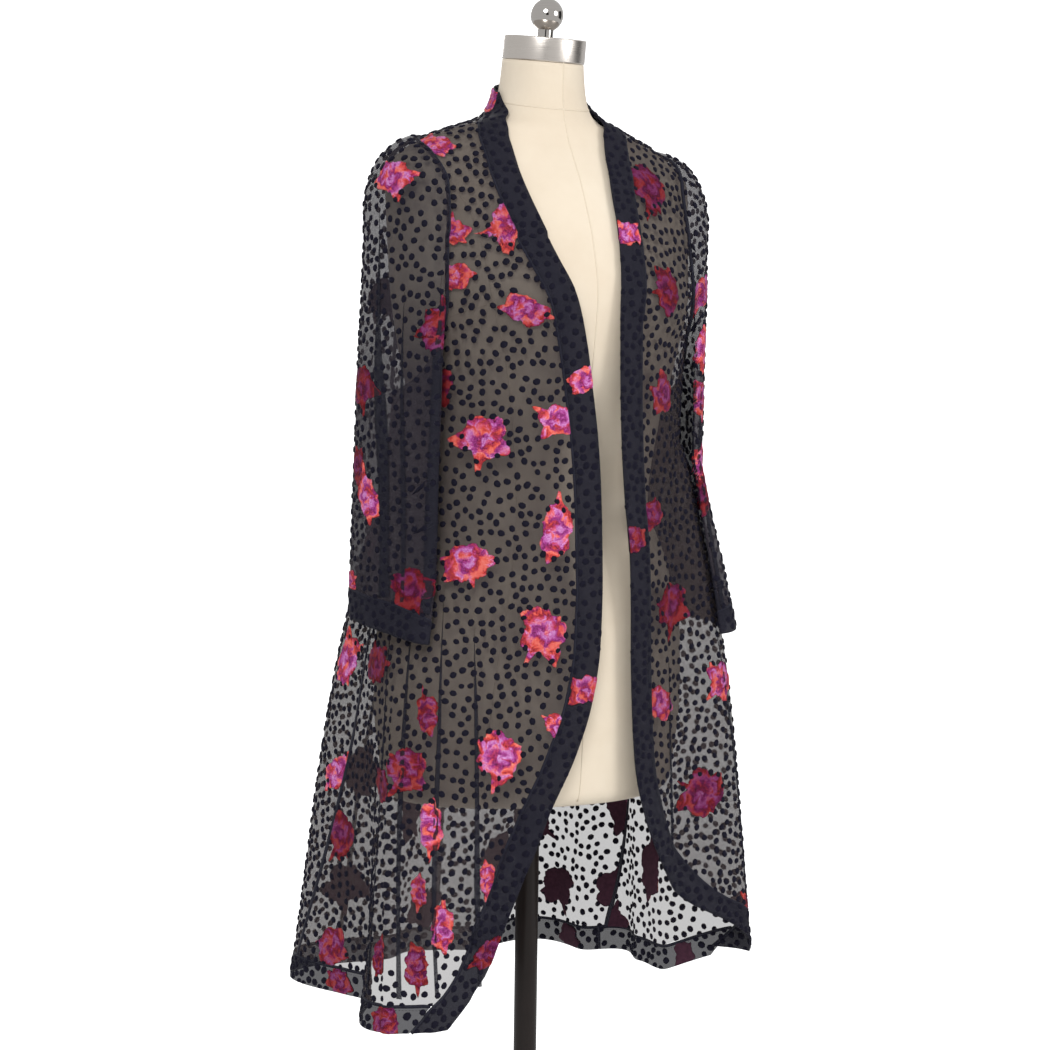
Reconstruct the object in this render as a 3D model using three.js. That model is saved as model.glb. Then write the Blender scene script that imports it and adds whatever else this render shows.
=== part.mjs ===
// A sheer kimono with burn-out velvet, open at the front, on a limbless dress form with a round stand.
// Millimetres, +Z up. The origin is on the floor on the pole's axis, the wearer's front faces -Y and
// the wearer's left is +X. The form and the kimono's body are both stars about the pole: at each
// height a ring gives how far the surface is from the axis in each direction, and every panel, band and
// edge is a patch of that surface, so neighbours meet along one line with a seam's gap between them.
import * as THREE from "three";

// Driving sizes
const NECK_SIDE = 1468; // where the shoulder line meets the neck
const ARM_TOP = 1442; // armhole seam on the shoulder line
const UNDERARM = 1180;
const FORM_BOTTOM = 755;
const NECK_TOP = 1532;
const BACK_NECK = 1483; // neckline at the centre back
const STAND_COLLAR = 30; // how far the band stands above the neckline
const PANEL_WALL = 1.1;
const BAND_WALL = 1.5; // folded double
const SEAM_GAP = 0.6;
const REST_GAP = 1.6; // cloth over the form along the shoulder line, where it rests
const CHEST_GAP = 5; // and over the chest and the shoulder blades
const COLLAR_GAP = 4; // and between the standing band and the neck
const BAND_WIDTH = 29;
const HEM_BAND = 26;
const CUFF_BAND = 26;
const CAP = { radius: 44, height: 25, tilt: 8 };
const BALL_RADIUS = 17.5;
const STEM = { radius: 8.5, height: 8 };
const POLE_RADIUS = 12.3;
const BASE = { radius: 205, height: 14, hubRadius: 32, hubHeight: 40 };

const COLLAR_SIDE = 1496; // top of the band at the side of the neck
const HALF_GAP_TURN = 0.4; // half a seam's gap at the shoulder line, in degrees
const SEAM_TURN = 0.3; // a seam's gap at the hem, in degrees
const CORNER_TURN = 2; // and at the left corner, where the band turns sharply
const HEM_LOW = 538; // lowest point of the hem
const WAIST = 1000; // below it the front band's width is measured level
const BAND_FOOT = NECK_SIDE + 0.8; // the standing band starts just over the neckline

const DEG = Math.PI / 180;

// The form, a ring in each row: half width, depth to the front and to the back of the ring's middle, and
// how far that middle lies forward of the pole.
const FORM_RINGS = [
  { height: FORM_BOTTOM, half: 154, front: 99, back: 102, forward: 0 },
  { height: 762, half: 163, front: 105, back: 109, forward: 0 },
  { height: 800, half: 171, front: 110, back: 116, forward: 0 },
  { height: 860, half: 177, front: 113, back: 121, forward: 0 },
  { height: 920, half: 176, front: 113, back: 117, forward: 0 },
  { height: 1000, half: 158, front: 105, back: 102, forward: 0 },
  { height: 1070, half: 132, front: 95, back: 88, forward: 1 },
  { height: 1150, half: 141, front: 103, back: 89, forward: 4 },
  { height: 1230, half: 160, front: 116, back: 94, forward: 6 },
  { height: 1285, half: 170, front: 118, back: 98, forward: 8 },
  { height: 1340, half: 174, front: 108, back: 101, forward: 8 },
  { height: 1380, half: 177, front: 93, back: 95, forward: 7 },
  { height: 1405, half: 179, front: 82, back: 87, forward: 6 },
  { height: 1420, half: 172, front: 74, back: 82, forward: 5 },
  { height: 1432, half: 158, front: 68, back: 77, forward: 4 },
  { height: ARM_TOP, half: 141, front: 63, back: 72, forward: 3 },
  { height: 1451, half: 119, front: 59, back: 67, forward: 3 },
  { height: 1460, half: 92, front: 55, back: 62, forward: 4 },
  { height: NECK_SIDE, half: 67, front: 51, back: 57, forward: 5 },
  { height: 1477, half: 55, front: 48, back: 51, forward: 6 },
  { height: 1494, half: 48, front: 45, back: 46, forward: 7 },
  { height: 1512, half: 45, front: 44, back: 44, forward: 8 },
  { height: NECK_TOP, half: 43, front: 43, back: 43, forward: 9 },
];
const BUST = { angle: 38, height: 1275, out: 13, angleSpread: 24, heightSpread: 46 };

// The kimono's body below the shoulders, where it hangs free of the form.
const DRAPE_RINGS = [
  { height: HEM_LOW, half: 190, front: 130, back: 205 },
  { height: 640, half: 187, front: 130, back: 192 },
  { height: 760, half: 186, front: 129, back: 178 },
  { height: 880, half: 183, front: 129, back: 160 },
  { height: 980, half: 174, front: 130, back: 143 },
  { height: 1070, half: 164, front: 131, back: 126 },
  { height: 1180, half: 161, front: 131, back: 111 },
  { height: 1285, half: 170, front: 128, back: 102 },
  { height: 1340, half: 174, front: 108, back: 101 },
];
const DRAPE_TOP = 1340;

// Hanging folds: direction from the front, positive to the wearer's left, half width in degrees, how far
// the cloth stands out at the hem, the height where the fold starts, and how it grows on the way down:
// under 1 it opens early and then falls straight.
const FOLDS = [
  { angle: -67, spread: 26, out: 66, start: 1000, grow: 1.2 },
  { angle: -29, spread: 9, out: 9, start: 900, grow: 1 },
  { angle: -97, spread: 11, out: -12, start: 900, grow: 1 },
  { angle: -132, spread: 30, out: 67, start: 1175, grow: 0.62 },
  { angle: -172, spread: 12, out: 13, start: 1000, grow: 1 },
  { angle: 169, spread: 9, out: -9, start: 980, grow: 1 },
  { angle: 147, spread: 20, out: 50, start: 1100, grow: 0.8 },
  { angle: 121, spread: 13, out: 34, start: 1060, grow: 0.8 },
  { angle: 95, spread: 14, out: -10, start: 960, grow: 1.2 },
  { angle: 71, spread: 20, out: 75, start: 1130, grow: 0.6 },
];

// Free edge of the front band from the neck side down to the hem: direction and height.
const EDGE_RIGHT = [
  { angle: -90, height: COLLAR_SIDE },
  { angle: -58, height: 1462 },
  { angle: -41, height: 1398 },
  { angle: -23, height: 1325 },
  { angle: -11, height: 1268 },
  { angle: -3.5, height: 1175 },
  { angle: 1.5, height: 1090 },
  { angle: 4, height: 970 },
  { angle: 3, height: 905 },
  { angle: -1.5, height: 855 },
  { angle: -10, height: 802 },
  { angle: -19, height: 760 },
  { angle: -27, height: 712 },
  { angle: -35, height: 662 },
  { angle: -41.5, height: 615 },
  { angle: -48, height: 573 },
  { angle: -54, height: HEM_LOW },
];
const EDGE_LEFT = [
  { angle: 90, height: COLLAR_SIDE },
  { angle: 37, height: 1450 },
  { angle: 19, height: 1385 },
  { angle: 14, height: 1330 },
  { angle: 10, height: 1275 },
  { angle: 11, height: 1175 },
  { angle: 15, height: 1080 },
  { angle: 20, height: 1000 },
  { angle: 21.5, height: 900 },
  { angle: 24, height: 810 },
  { angle: 28.5, height: 759 },
  { angle: 37.5, height: 709 },
  { angle: 50, height: 660 },
  { angle: 62, height: 620 },
  { angle: 73, height: 572 },
];
// Hem height by direction, all the way round from the centre back over the wearer's right.
const HEM = [
  { angle: -180, height: 541 },
  { angle: -100, height: 541 },
  { angle: -55, height: HEM_LOW },
  { angle: 73, height: 572 },
  { angle: 95, height: 541 },
  { angle: 180, height: 541 },
];
// Side seams, as directions without a sign: they swing to the back below the underarm.
const SIDE_SEAM = [
  { height: HEM_LOW, angle: 127 },
  { height: 760, angle: 113 },
  { height: 1000, angle: 98 },
  { height: UNDERARM, angle: 93 },
];
const ARMHOLE_FRONT = [
  { height: UNDERARM, angle: 93 },
  { height: 1194, angle: 80 },
  { height: 1225, angle: 70 },
  { height: 1280, angle: 64.5 },
  { height: 1340, angle: 66 },
  { height: 1395, angle: 69 },
  { height: 1424, angle: 77 },
  { height: ARM_TOP, angle: 90 },
];
const ARMHOLE_BACK = [
  { height: UNDERARM, angle: 93 },
  { height: 1194, angle: 105 },
  { height: 1225, angle: 111 },
  { height: 1290, angle: 114.5 },
  { height: 1350, angle: 112 },
  { height: 1410, angle: 104 },
  { height: ARM_TOP, angle: 90 },
];

// The hanging sleeve: its middle direction and half width round the body, the tightest ring it may
// hang on, and the height of its cuff.
const SLEEVE = {
  angle: 87,
  halfSpread: 23,
  ringHalf: 186,
  ringDepth: 120,
  clearance: 4.5,
  cuff: 941,
  cuffTilt: 15,
  capDrop: 71,
  underarmDrop: 45,
  capShare: 0.14,
  overlap: 2.3, // how far the sleeve's edge lies over the armhole's
  chest: 1330, // the sleeve's inner side follows the body from here down
};
// How far each hanging sleeve stands out from the body, at the top and at the cuff
const SLEEVE_DEPTH = {
  right: { top: 12, cuff: 18 },
  left: { top: 10, cuff: 14 },
};
const SLEEVE_FOLDS = [
  { around: 0.31, spread: 0.07, out: 4 },
  { around: 0.43, spread: 0.06, out: -3 },
  { around: 0.58, spread: 0.08, out: 3.5 },
  { around: 0.7, spread: 0.06, out: -3 },
];

// A smooth line through the rows of a table: one column over another, without overshoot.
function columnOver(rows, along, column) {
  const sorted = [...rows].sort((p, q) => p[along] - q[along]);
  const x = sorted.map((row) => row[along]);
  const y = sorted.map((row) => row[column]);
  const last = x.length - 1;
  const step = x.slice(1).map((value, i) => value - x[i]);
  const rise = step.map((width, i) => (y[i + 1] - y[i]) / width);
  const slope = x.map((_, i) => {
    if (i === 0) return rise[0];
    if (i === last) return rise[last - 1];
    if (rise[i - 1] * rise[i] <= 0) return 0;
    const near = 2 * step[i] + step[i - 1];
    const far = step[i] + 2 * step[i - 1];
    return (near + far) / (near / rise[i - 1] + far / rise[i]);
  });
  return (value) => {
    const v = Math.min(Math.max(value, x[0]), x[last]);
    let i = 0;
    while (i < last - 1 && v > x[i + 1]) i += 1;
    const t = (v - x[i]) / step[i];
    const s = 1 - t;
    const start = y[i] * (1 + 2 * t) + slope[i] * step[i] * t;
    const end = y[i + 1] * (3 - 2 * t) - slope[i + 1] * step[i] * s;
    return s * s * start + t * t * end;
  };
}

function ringTable(rows) {
  const names = Object.keys(rows[0]).filter((name) => name !== "height");
  const columns = names.map((name) => [name, columnOver(rows, "height", name)]);
  return (height) => Object.fromEntries(columns.map(([name, column]) => [name, column(height)]));
}

const formRing = ringTable(FORM_RINGS);
const drapeRing = ringTable(DRAPE_RINGS);
const hemHeight = columnOver(HEM, "angle", "height");
const sideSeam = columnOver(SIDE_SEAM, "height", "angle");
const armholeFront = columnOver(ARMHOLE_FRONT, "height", "angle");
const armholeBack = columnOver(ARMHOLE_BACK, "height", "angle");

const bell = (offset, spread) => Math.exp(-((offset / spread) ** 2));
const hump = (offset, spread) =>
  Math.abs(offset) < spread ? Math.cos((offset / spread) * 90 * DEG) ** 2 : 0;
const wrap = (angle) => ((((angle + 180) % 360) + 360) % 360) - 180;
const ease = (t) => t * t * (3 - 2 * t);
const unit = (value) => Math.min(Math.max(value, 0), 1);
const mix = (a, b, t) => a + (b - a) * t;

// Distance from a ring's middle to its oval outline in a direction.
function ovalReach(ring, angle) {
  const side = Math.sin(angle * DEG) / ring.half;
  const depth = Math.cos(angle * DEG) / (Math.cos(angle * DEG) > 0 ? ring.front : ring.back);
  return 1 / Math.hypot(side, depth);
}

function formReach(angle, height) {
  const bust = (side) =>
    BUST.out *
    bell(wrap(angle - side * BUST.angle), BUST.angleSpread) *
    bell(height - BUST.height, BUST.heightSpread);
  return ovalReach(formRing(height), angle) + bust(1) + bust(-1);
}

function foldReach(angle, height) {
  let reach = 0;
  for (const fold of FOLDS) {
    const down = unit((fold.start - height) / (fold.start - HEM_LOW));
    reach += fold.out * hump(wrap(angle - fold.angle), fold.spread) * down ** fold.grow;
  }
  return reach;
}

// How far the cloth lies off the form: closest along the shoulder line.
function gapAt(angle, height) {
  const fromShoulder = Math.abs(90 - Math.abs(wrap(angle)));
  const chest = mix(REST_GAP, CHEST_GAP, ease(unit((fromShoulder - 4) / 30)));
  return mix(chest, COLLAR_GAP, ease(unit((height - NECK_SIDE + 4) / 40)));
}

// The kimono's body below the chest: the free drape, held off the form where that is wider.
function drapeReach(angle, height) {
  const hanging = ovalReach(drapeRing(height), angle) + foldReach(angle, height);
  return Math.max(hanging, formReach(angle, height) + gapAt(angle, height));
}

// Directions are spaced by the ring's own outline, closer together at the sharp sides: "turn" is the
// even measure along the outline, "angle" the true direction.
function angleOf(turn, height) {
  const ring = formRing(height);
  const depth = Math.cos(turn * DEG) > 0 ? ring.front : ring.back;
  return Math.atan2(Math.sin(turn * DEG) * ring.half, Math.cos(turn * DEG) * depth) / DEG;
}

function turnOf(angle, height) {
  const ring = formRing(height);
  const depth = Math.cos(angle * DEG) > 0 ? ring.front : ring.back;
  return Math.atan2(Math.sin(angle * DEG) / ring.half, Math.cos(angle * DEG) / depth) / DEG;
}

function starPoint(reach, angle, height) {
  const { forward } = formRing(height);
  return new THREE.Vector3(
    reach * Math.sin(angle * DEG),
    -(forward + reach * Math.cos(angle * DEG)),
    height,
  );
}

function formPoint(turn, height) {
  const angle = angleOf(turn, height);
  return starPoint(formReach(angle, height), angle, height);
}

// The kimono's body: it lies over the form's shoulders, and hangs free below the chest.
function bodyPoint(turn, height) {
  const angle = angleOf(turn, height);
  if (height < DRAPE_TOP) return starPoint(drapeReach(angle, height), angle, height);
  const square = normalOf(formPoint, turn, height);
  return square.multiplyScalar(gapAt(angle, height)).add(formPoint(turn, height));
}

// Outward normal of a surface given by turn and height, by small differences.
function normalOf(surface, turn, height) {
  const [turnStep, heightStep] = [0.4, 0.6];
  const across = surface(turn + turnStep, height).sub(surface(turn - turnStep, height));
  const along = surface(turn, height + heightStep).sub(surface(turn, height - heightStep));
  return across.cross(along).normalize();
}
const bodyNormal = (turn, height) => normalOf(bodyPoint, turn, height);

// A closed solid from vertices and triangles, turned to face outwards.
function solidFrom(vertices, triangles) {
  let volume = 0;
  for (let i = 0; i < triangles.length; i += 3) {
    const [a, b, c] = triangles.slice(i, i + 3).map((index) => vertices[index]);
    volume += a.dot(b.clone().cross(c));
  }
  const index = volume < 0 ? [...triangles].reverse() : triangles;
  const geometry = new THREE.BufferGeometry();
  geometry.setAttribute(
    "position",
    new THREE.Float32BufferAttribute(vertices.flatMap((point) => point.toArray()), 3),
  );
  geometry.setIndex(index);
  geometry.computeVertexNormals();
  return geometry;
}

// A cloth wall from rows of inner and outer points. An open wall has a rim on all four sides, and a
// closed tube a rim at each end.
function clothWall(inner, outer, isTube = false) {
  const rows = inner.length;
  const columns = inner[0].length;
  const vertices = [...inner.flat(), ...outer.flat()];
  const outside = rows * columns;
  const at = (row, column) => row * columns + (column % columns);
  const triangles = [];
  const quad = (a, b, c, d) => triangles.push(a, b, c, a, c, d);
  const spans = isTube ? columns : columns - 1;
  for (let row = 0; row < rows - 1; row += 1)
    for (let column = 0; column < spans; column += 1) {
      const [a, b] = [at(row, column), at(row, column + 1)];
      const [c, d] = [at(row + 1, column + 1), at(row + 1, column)];
      quad(a + outside, b + outside, c + outside, d + outside);
      triangles.push(c, b, a, d, c, a); // split along the same corners as the outer side
    }
  for (let column = 0; column < spans; column += 1) {
    const [a, b] = [at(0, column), at(0, column + 1)];
    const [c, d] = [at(rows - 1, column), at(rows - 1, column + 1)];
    quad(a, b, b + outside, a + outside);
    quad(d, c, c + outside, d + outside);
  }
  for (let row = 0; row < rows - 1 && !isTube; row += 1) {
    const [a, b] = [at(row, 0), at(row + 1, 0)];
    const [c, d] = [at(row, columns - 1), at(row + 1, columns - 1)];
    quad(b, a, a + outside, b + outside);
    quad(c, d, d + outside, c + outside);
  }
  return solidFrom(vertices, triangles);
}

// A patch of the kimono's body from a grid of { turn, height }.
function bodyPatch(grid, thickness) {
  const inner = grid.map((row) => row.map(({ turn, height }) => bodyPoint(turn, height)));
  const outer = grid.map((row, i) =>
    row.map(({ turn, height }, j) =>
      bodyNormal(turn, height).multiplyScalar(thickness).add(inner[i][j]),
    ),
  );
  return clothWall(inner, outer);
}

const evenly = (count, from = 0, to = 1) =>
  Array.from({ length: count + 1 }, (_, i) => mix(from, to, i / count));
const between = (a, b, t) => ({ turn: mix(a.turn, b.turn, t), height: mix(a.height, b.height, t) });
const spot = (angle, height) => ({ turn: turnOf(angle, height), height });

// A place on the body moved by a distance towards the panel's side seam: square to the edge above
// the waist, and level below it, where the distance grows with the edge's slope.
function inset(place, edgeAhead, edgeBehind, side, distance) {
  const steps = 8;
  const leastSlope = 0.12;
  const tangent = bodyPoint(edgeAhead.turn, edgeAhead.height)
    .sub(bodyPoint(edgeBehind.turn, edgeBehind.height))
    .normalize();
  const isLevel = place.height < WAIST;
  const walked = { ...place };
  for (let i = 0; i < steps; i += 1) {
    const here = bodyPoint(walked.turn, walked.height);
    const perTurn = bodyPoint(walked.turn + 0.1, walked.height).sub(here).multiplyScalar(10);
    const perHeight = bodyPoint(walked.turn, walked.height - 0.1).sub(here).multiplyScalar(10);
    const turn = side * (isLevel ? 1 : Math.abs(perHeight.dot(tangent)));
    const drop = isLevel ? 0 : -side * Math.sign(perHeight.dot(tangent)) * perTurn.dot(tangent);
    const move = perTurn.clone().multiplyScalar(turn).addScaledVector(perHeight, drop);
    const square = isLevel ? Math.hypot(tangent.z, leastSlope) : 1;
    const share = distance / steps / move.length() / square;
    walked.turn += turn * share;
    walked.height -= drop * share;
  }
  const furthest = 90 - HALF_GAP_TURN;
  if (Math.abs(walked.turn) > furthest && place.height > ARM_TOP) walked.turn = side * furthest;
  return walked;
}

// The front edge of one side as even places from the neck side down to the hem.
const EDGE_ROWS = 22;
const CLOSER = 1.35; // rows lie closer together at the shoulder
function edgePlaces(rows) {
  const samples = 240;
  const index = rows.map((row, i) => ({ ...row, i }));
  const angle = columnOver(index, "i", "angle");
  const height = columnOver(index, "i", "height");
  const places = evenly(samples, 0, rows.length - 1).map((i) => spot(angle(i), height(i)));
  const points = places.map(({ turn, height: z }) => bodyPoint(turn, z));
  const length = [0];
  points.slice(1).forEach((point, i) => length.push(length[i] + point.distanceTo(points[i])));
  const atLength = (wanted) => {
    let i = 0;
    while (i < length.length - 2 && length[i + 1] < wanted) i += 1;
    return between(places[i], places[i + 1], (wanted - length[i]) / (length[i + 1] - length[i]));
  };
  const total = length.at(-1);
  return evenly(EDGE_ROWS).map((t) => atLength(t ** CLOSER * total));
}

// Free edge and seam line of one front band, and the line where the panel starts.
function frontLines(side) {
  const free = edgePlaces(side < 0 ? EDGE_RIGHT : EDGE_LEFT);
  const moved = (distance) =>
    free.map((place, i) =>
      inset(place, free[Math.max(i - 1, 0)], free[Math.min(i + 1, free.length - 1)], side, distance),
    );
  const lines = { free, seam: moved(BAND_WIDTH), panel: moved(BAND_WIDTH + 1.5 * SEAM_GAP) };
  lines.free[0] = { turn: side * (90 - HALF_GAP_TURN), height: COLLAR_SIDE };
  lines.seam[0] = { turn: side * (90 - HALF_GAP_TURN), height: BAND_FOOT };
  lines.panel[0] = { turn: side * (90 - HALF_GAP_TURN), height: NECK_SIDE };
  return lines;
}
const LINES = { right: frontLines(-1), left: frontLines(1) };

function frontBand(name) {
  const { free, seam } = LINES[name];
  const grid = free.map((place, i) => evenly(2).map((t) => between(place, seam[i], t)));
  return bodyPatch(grid, BAND_WALL);
}

// The side column of a panel: along the armhole from the shoulder to the underarm, then down the
// side seam to a height above the hem.
function sideColumn(side, armhole, shares, hemLift) {
  return shares.map((share) => {
    if (share.arm !== undefined) {
      const height = mix(ARM_TOP, UNDERARM, share.arm ** CLOSER);
      const { turn } = spot(side * armhole(height), height);
      return { turn: turn - side * HALF_GAP_TURN, height };
    }
    const bottom = hemHeight(side * sideSeam(HEM_LOW)) + hemLift;
    const height = mix(UNDERARM, bottom, share.seam);
    const { turn } = spot(side * sideSeam(height), height);
    return { turn: turn - side * HALF_GAP_TURN, height };
  });
}

// Where a line down the front crosses a height above the hem.
function crossing(line, lift) {
  const above = ({ turn, height }) => height - hemHeight(angleOf(turn, height)) - lift;
  const next = line.findIndex((place) => above(place) < 0);
  const [upper, lower] = [line[next - 1], line[next]];
  const at = between(upper, lower, above(upper) / (above(upper) - above(lower)));
  return { next, at };
}

const FRONT_COLUMNS = 16;
function frontGrid(name) {
  const side = name === "left" ? 1 : -1;
  const line = LINES[name].panel;
  const hemLift = HEM_BAND + SEAM_GAP;
  const { next, at: foot } = crossing(line, hemLift);
  const column = [...line.slice(0, next), foot];
  const armRows = column.findIndex((place) => place.height < UNDERARM);
  const lastRow = column.length - 1;
  const shares = column.map((_, i) =>
    i <= armRows ? { arm: i / armRows } : { seam: (i - armRows) / (lastRow - armRows) },
  );
  const seamSide = sideColumn(side, armholeFront, shares, hemLift);
  return column.map((place, i) =>
    evenly(FRONT_COLUMNS).map((t) => {
      const at = between(place, seamSide[i], t);
      if (i === lastRow) at.height = hemHeight(angleOf(at.turn, at.height)) + hemLift;
      return at;
    }),
  );
}

const BACK_COLUMNS = 28;
const BACK_ROWS = { shoulder: 6, arm: 6, skirt: 11 };
// The top row runs along the right shoulder, round the back neck and along the left shoulder.
function backTop(t) {
  const shoulder = 0.3;
  const edge = 90 + HALF_GAP_TURN;
  if (t < shoulder) return { turn: -edge, height: mix(ARM_TOP, NECK_SIDE, t / shoulder) };
  if (t > 1 - shoulder)
    return { turn: edge - 360, height: mix(ARM_TOP, NECK_SIDE, (1 - t) / shoulder) };
  const round = (t - shoulder) / (1 - 2 * shoulder);
  const neckline = NECK_SIDE + (BACK_NECK - NECK_SIDE) * Math.sin(Math.PI * round);
  return { turn: mix(-edge, edge - 360, round), height: neckline };
}

// Turns across the back run from the right over -180 to the left.
function backGrid() {
  const hemLift = HEM_BAND + SEAM_GAP;
  const bottom = hemHeight(180) + hemLift;
  const rowAt = (height, angle) =>
    evenly(BACK_COLUMNS).map((t) => {
      const edge = turnOf(angle, height) + HALF_GAP_TURN;
      return { turn: mix(-edge, edge - 360, t), height };
    });
  const armBlend = 1396;
  const rows = [];
  const blendRow = rowAt(armBlend, armholeBack(armBlend));
  const top = evenly(BACK_COLUMNS).map(backTop);
  for (const t of evenly(BACK_ROWS.shoulder).slice(0, -1).map((share) => share ** CLOSER)) {
    const edge = between(top[0], blendRow[0], t);
    const armhole = -turnOf(armholeBack(edge.height), edge.height) - HALF_GAP_TURN;
    const swing = armhole - edge.turn; // the armhole's own curve, shared out over the row
    rows.push(
      top.map((place, i) => {
        const { turn, height } = between(place, blendRow[i], t);
        return { turn: turn + swing * (1 - (2 * i) / BACK_COLUMNS), height };
      }),
    );
  }
  for (const height of evenly(BACK_ROWS.arm, armBlend, UNDERARM).slice(0, -1))
    rows.push(rowAt(height, armholeBack(height)));
  for (const height of evenly(BACK_ROWS.skirt, UNDERARM, bottom))
    rows.push(rowAt(height, sideSeam(height)));
  return rows;
}

function neckBand() {
  const grid = evenly(16).map((t) => {
    const edge = 90 + HALF_GAP_TURN;
    const bow = Math.sin(Math.PI * t);
    const foot = BAND_FOOT + (BACK_NECK - NECK_SIDE) * bow;
    const head = COLLAR_SIDE + (BACK_NECK + STAND_COLLAR - COLLAR_SIDE) * bow;
    return evenly(2).map((share) => ({
      turn: mix(-edge, edge - 360, t),
      height: mix(foot, head, share),
    }));
  });
  return bodyPatch(grid, BAND_WALL);
}

// A turn kept on the same round as an angle, past 180 degrees.
const signedFor = (turn, angle) => turn + 360 * Math.round((angle - turn) / 360);

// A hem band between two directions, each given for the band's top and for its lower edge.
function hemBand(from, to, columns) {
  const rows = [
    { lift: HEM_BAND, from: from.top, to: to.top },
    { lift: 0, from: from.foot, to: to.foot },
  ];
  const grid = rows.map((row) =>
    evenly(columns).map((t) => {
      const height = hemHeight(wrap(mix(row.from, row.to, t))) + row.lift;
      const start = signedFor(turnOf(wrap(row.from), height), row.from);
      const end = signedFor(turnOf(wrap(row.to), height), row.to);
      return { turn: mix(start, end, t), height };
    }),
  );
  return bodyPatch(grid, BAND_WALL);
}

// The kimono's nearest clear surface for a sleeve in a direction.
function sleeveInner(angle, height) {
  const ring = {
    half: SLEEVE.ringHalf,
    front: SLEEVE.ringDepth,
    back: SLEEVE.ringDepth,
  };
  return Math.max(ovalReach(ring, angle), drapeReach(angle, height) + SLEEVE.clearance);
}

function armholePlace(side, around) {
  const height = mix(UNDERARM, ARM_TOP, Math.sin(Math.PI * around) ** 2);
  const edge = around <= 0.5 ? armholeFront : armholeBack;
  return spot(side * edge(height), height);
}

function sleevePoint(side, around, along) {
  const place = armholePlace(side, around);
  const start = bodyPoint(place.turn, place.height).addScaledVector(
    bodyNormal(place.turn, place.height),
    PANEL_WALL + SLEEVE.overlap,
  );
  const swing = Math.sin(2 * Math.PI * around);
  const open = 0.5 - 0.5 * Math.cos(2 * Math.PI * around);
  const cuff = SLEEVE.cuff - SLEEVE.cuffTilt * swing;
  const drop = mix(SLEEVE.underarmDrop, SLEEVE.capDrop, open ** 2);
  const isCap = along < SLEEVE.capShare;
  const quarter = isCap ? (along / SLEEVE.capShare) * 90 * DEG : 90 * DEG;
  const down = isCap ? 0 : (along - SLEEVE.capShare) / (1 - SLEEVE.capShare);
  const capFoot = start.z - drop;
  const height = isCap ? start.z - drop * (1 - Math.cos(quarter)) : mix(capFoot, cuff, down);
  const angle = side * (SLEEVE.angle - SLEEVE.halfSpread * swing);
  const { top, cuff: foot } = SLEEVE_DEPTH[side < 0 ? "right" : "left"];
  let depth = mix(top, foot, unit((SLEEVE.chest - height) / (SLEEVE.chest - cuff))) * open;
  const fullness = (open * foot) / SLEEVE_DEPTH.right.cuff; // smaller folds on the flatter sleeve
  for (const fold of SLEEVE_FOLDS)
    depth += fullness * fold.out * hump(around - fold.around, fold.spread) * ease(unit(along * 2));
  const hang = starPoint(sleeveInner(angle, Math.min(height, SLEEVE.chest)) + depth, angle, height);
  const share = Math.sin(quarter);
  return new THREE.Vector3(mix(start.x, hang.x, share), mix(start.y, hang.y, share), height);
}

function sleeveTube(side, shares, thickness) {
  const columns = 26;
  const [aroundStep, alongStep] = [0.004, 0.01];
  const surface = (around, along) => sleevePoint(side, ((around % 1) + 1) % 1, along);
  const inner = shares.map((along) =>
    Array.from({ length: columns }, (_, i) => surface(i / columns, along)),
  );
  const outer = inner.map((ring, row) =>
    ring.map((point, i) => {
      const around = i / columns;
      const ahead = surface(around + aroundStep, shares[row]);
      const behind = surface(around - aroundStep, shares[row]);
      const lower = surface(around, shares[row] + alongStep);
      const upper = surface(around, Math.max(shares[row] - alongStep, 0));
      const normal = ahead.sub(behind).cross(lower.sub(upper)).normalize();
      return normal.multiplyScalar(-side * thickness).add(point);
    }),
  );
  return clothWall(inner, outer, true);
}

const SLEEVE_LENGTH = 440; // straight run from the cap to the cuff at the outer side
const CUFF_SHARE = CUFF_BAND / SLEEVE_LENGTH;
const GAP_SHARE = SEAM_GAP / (SLEEVE_LENGTH * 0.5);
const sleeveShares = [
  ...evenly(5, 0, SLEEVE.capShare).slice(0, -1),
  ...evenly(7, SLEEVE.capShare, 1 - CUFF_SHARE - GAP_SHARE),
];
const cuffShares = evenly(1, 1 - CUFF_SHARE, 1);

// A closed solid through stacked rings of points, flat at both ends.
function stackedRings(rings) {
  const count = rings[0].length;
  const vertices = rings.flat();
  const triangles = [];
  rings.slice(1).forEach((_, row) => {
    for (let i = 0; i < count; i += 1) {
      const [a, b] = [row * count + i, row * count + ((i + 1) % count)];
      triangles.push(a, b, b + count, a, b + count, a + count);
    }
  });
  const closeEnd = (row, isTop) => {
    const centre = vertices.length;
    const middle = rings[row].reduce((sum, point) => sum.add(point), new THREE.Vector3());
    vertices.push(middle.divideScalar(count));
    for (let i = 0; i < count; i += 1) {
      const [a, b] = [row * count + i, row * count + ((i + 1) % count)];
      triangles.push(...(isTop ? [centre, a, b] : [centre, b, a]));
    }
  };
  closeEnd(0, false);
  closeEnd(rings.length - 1, true);
  return solidFrom(vertices, triangles);
}

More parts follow.
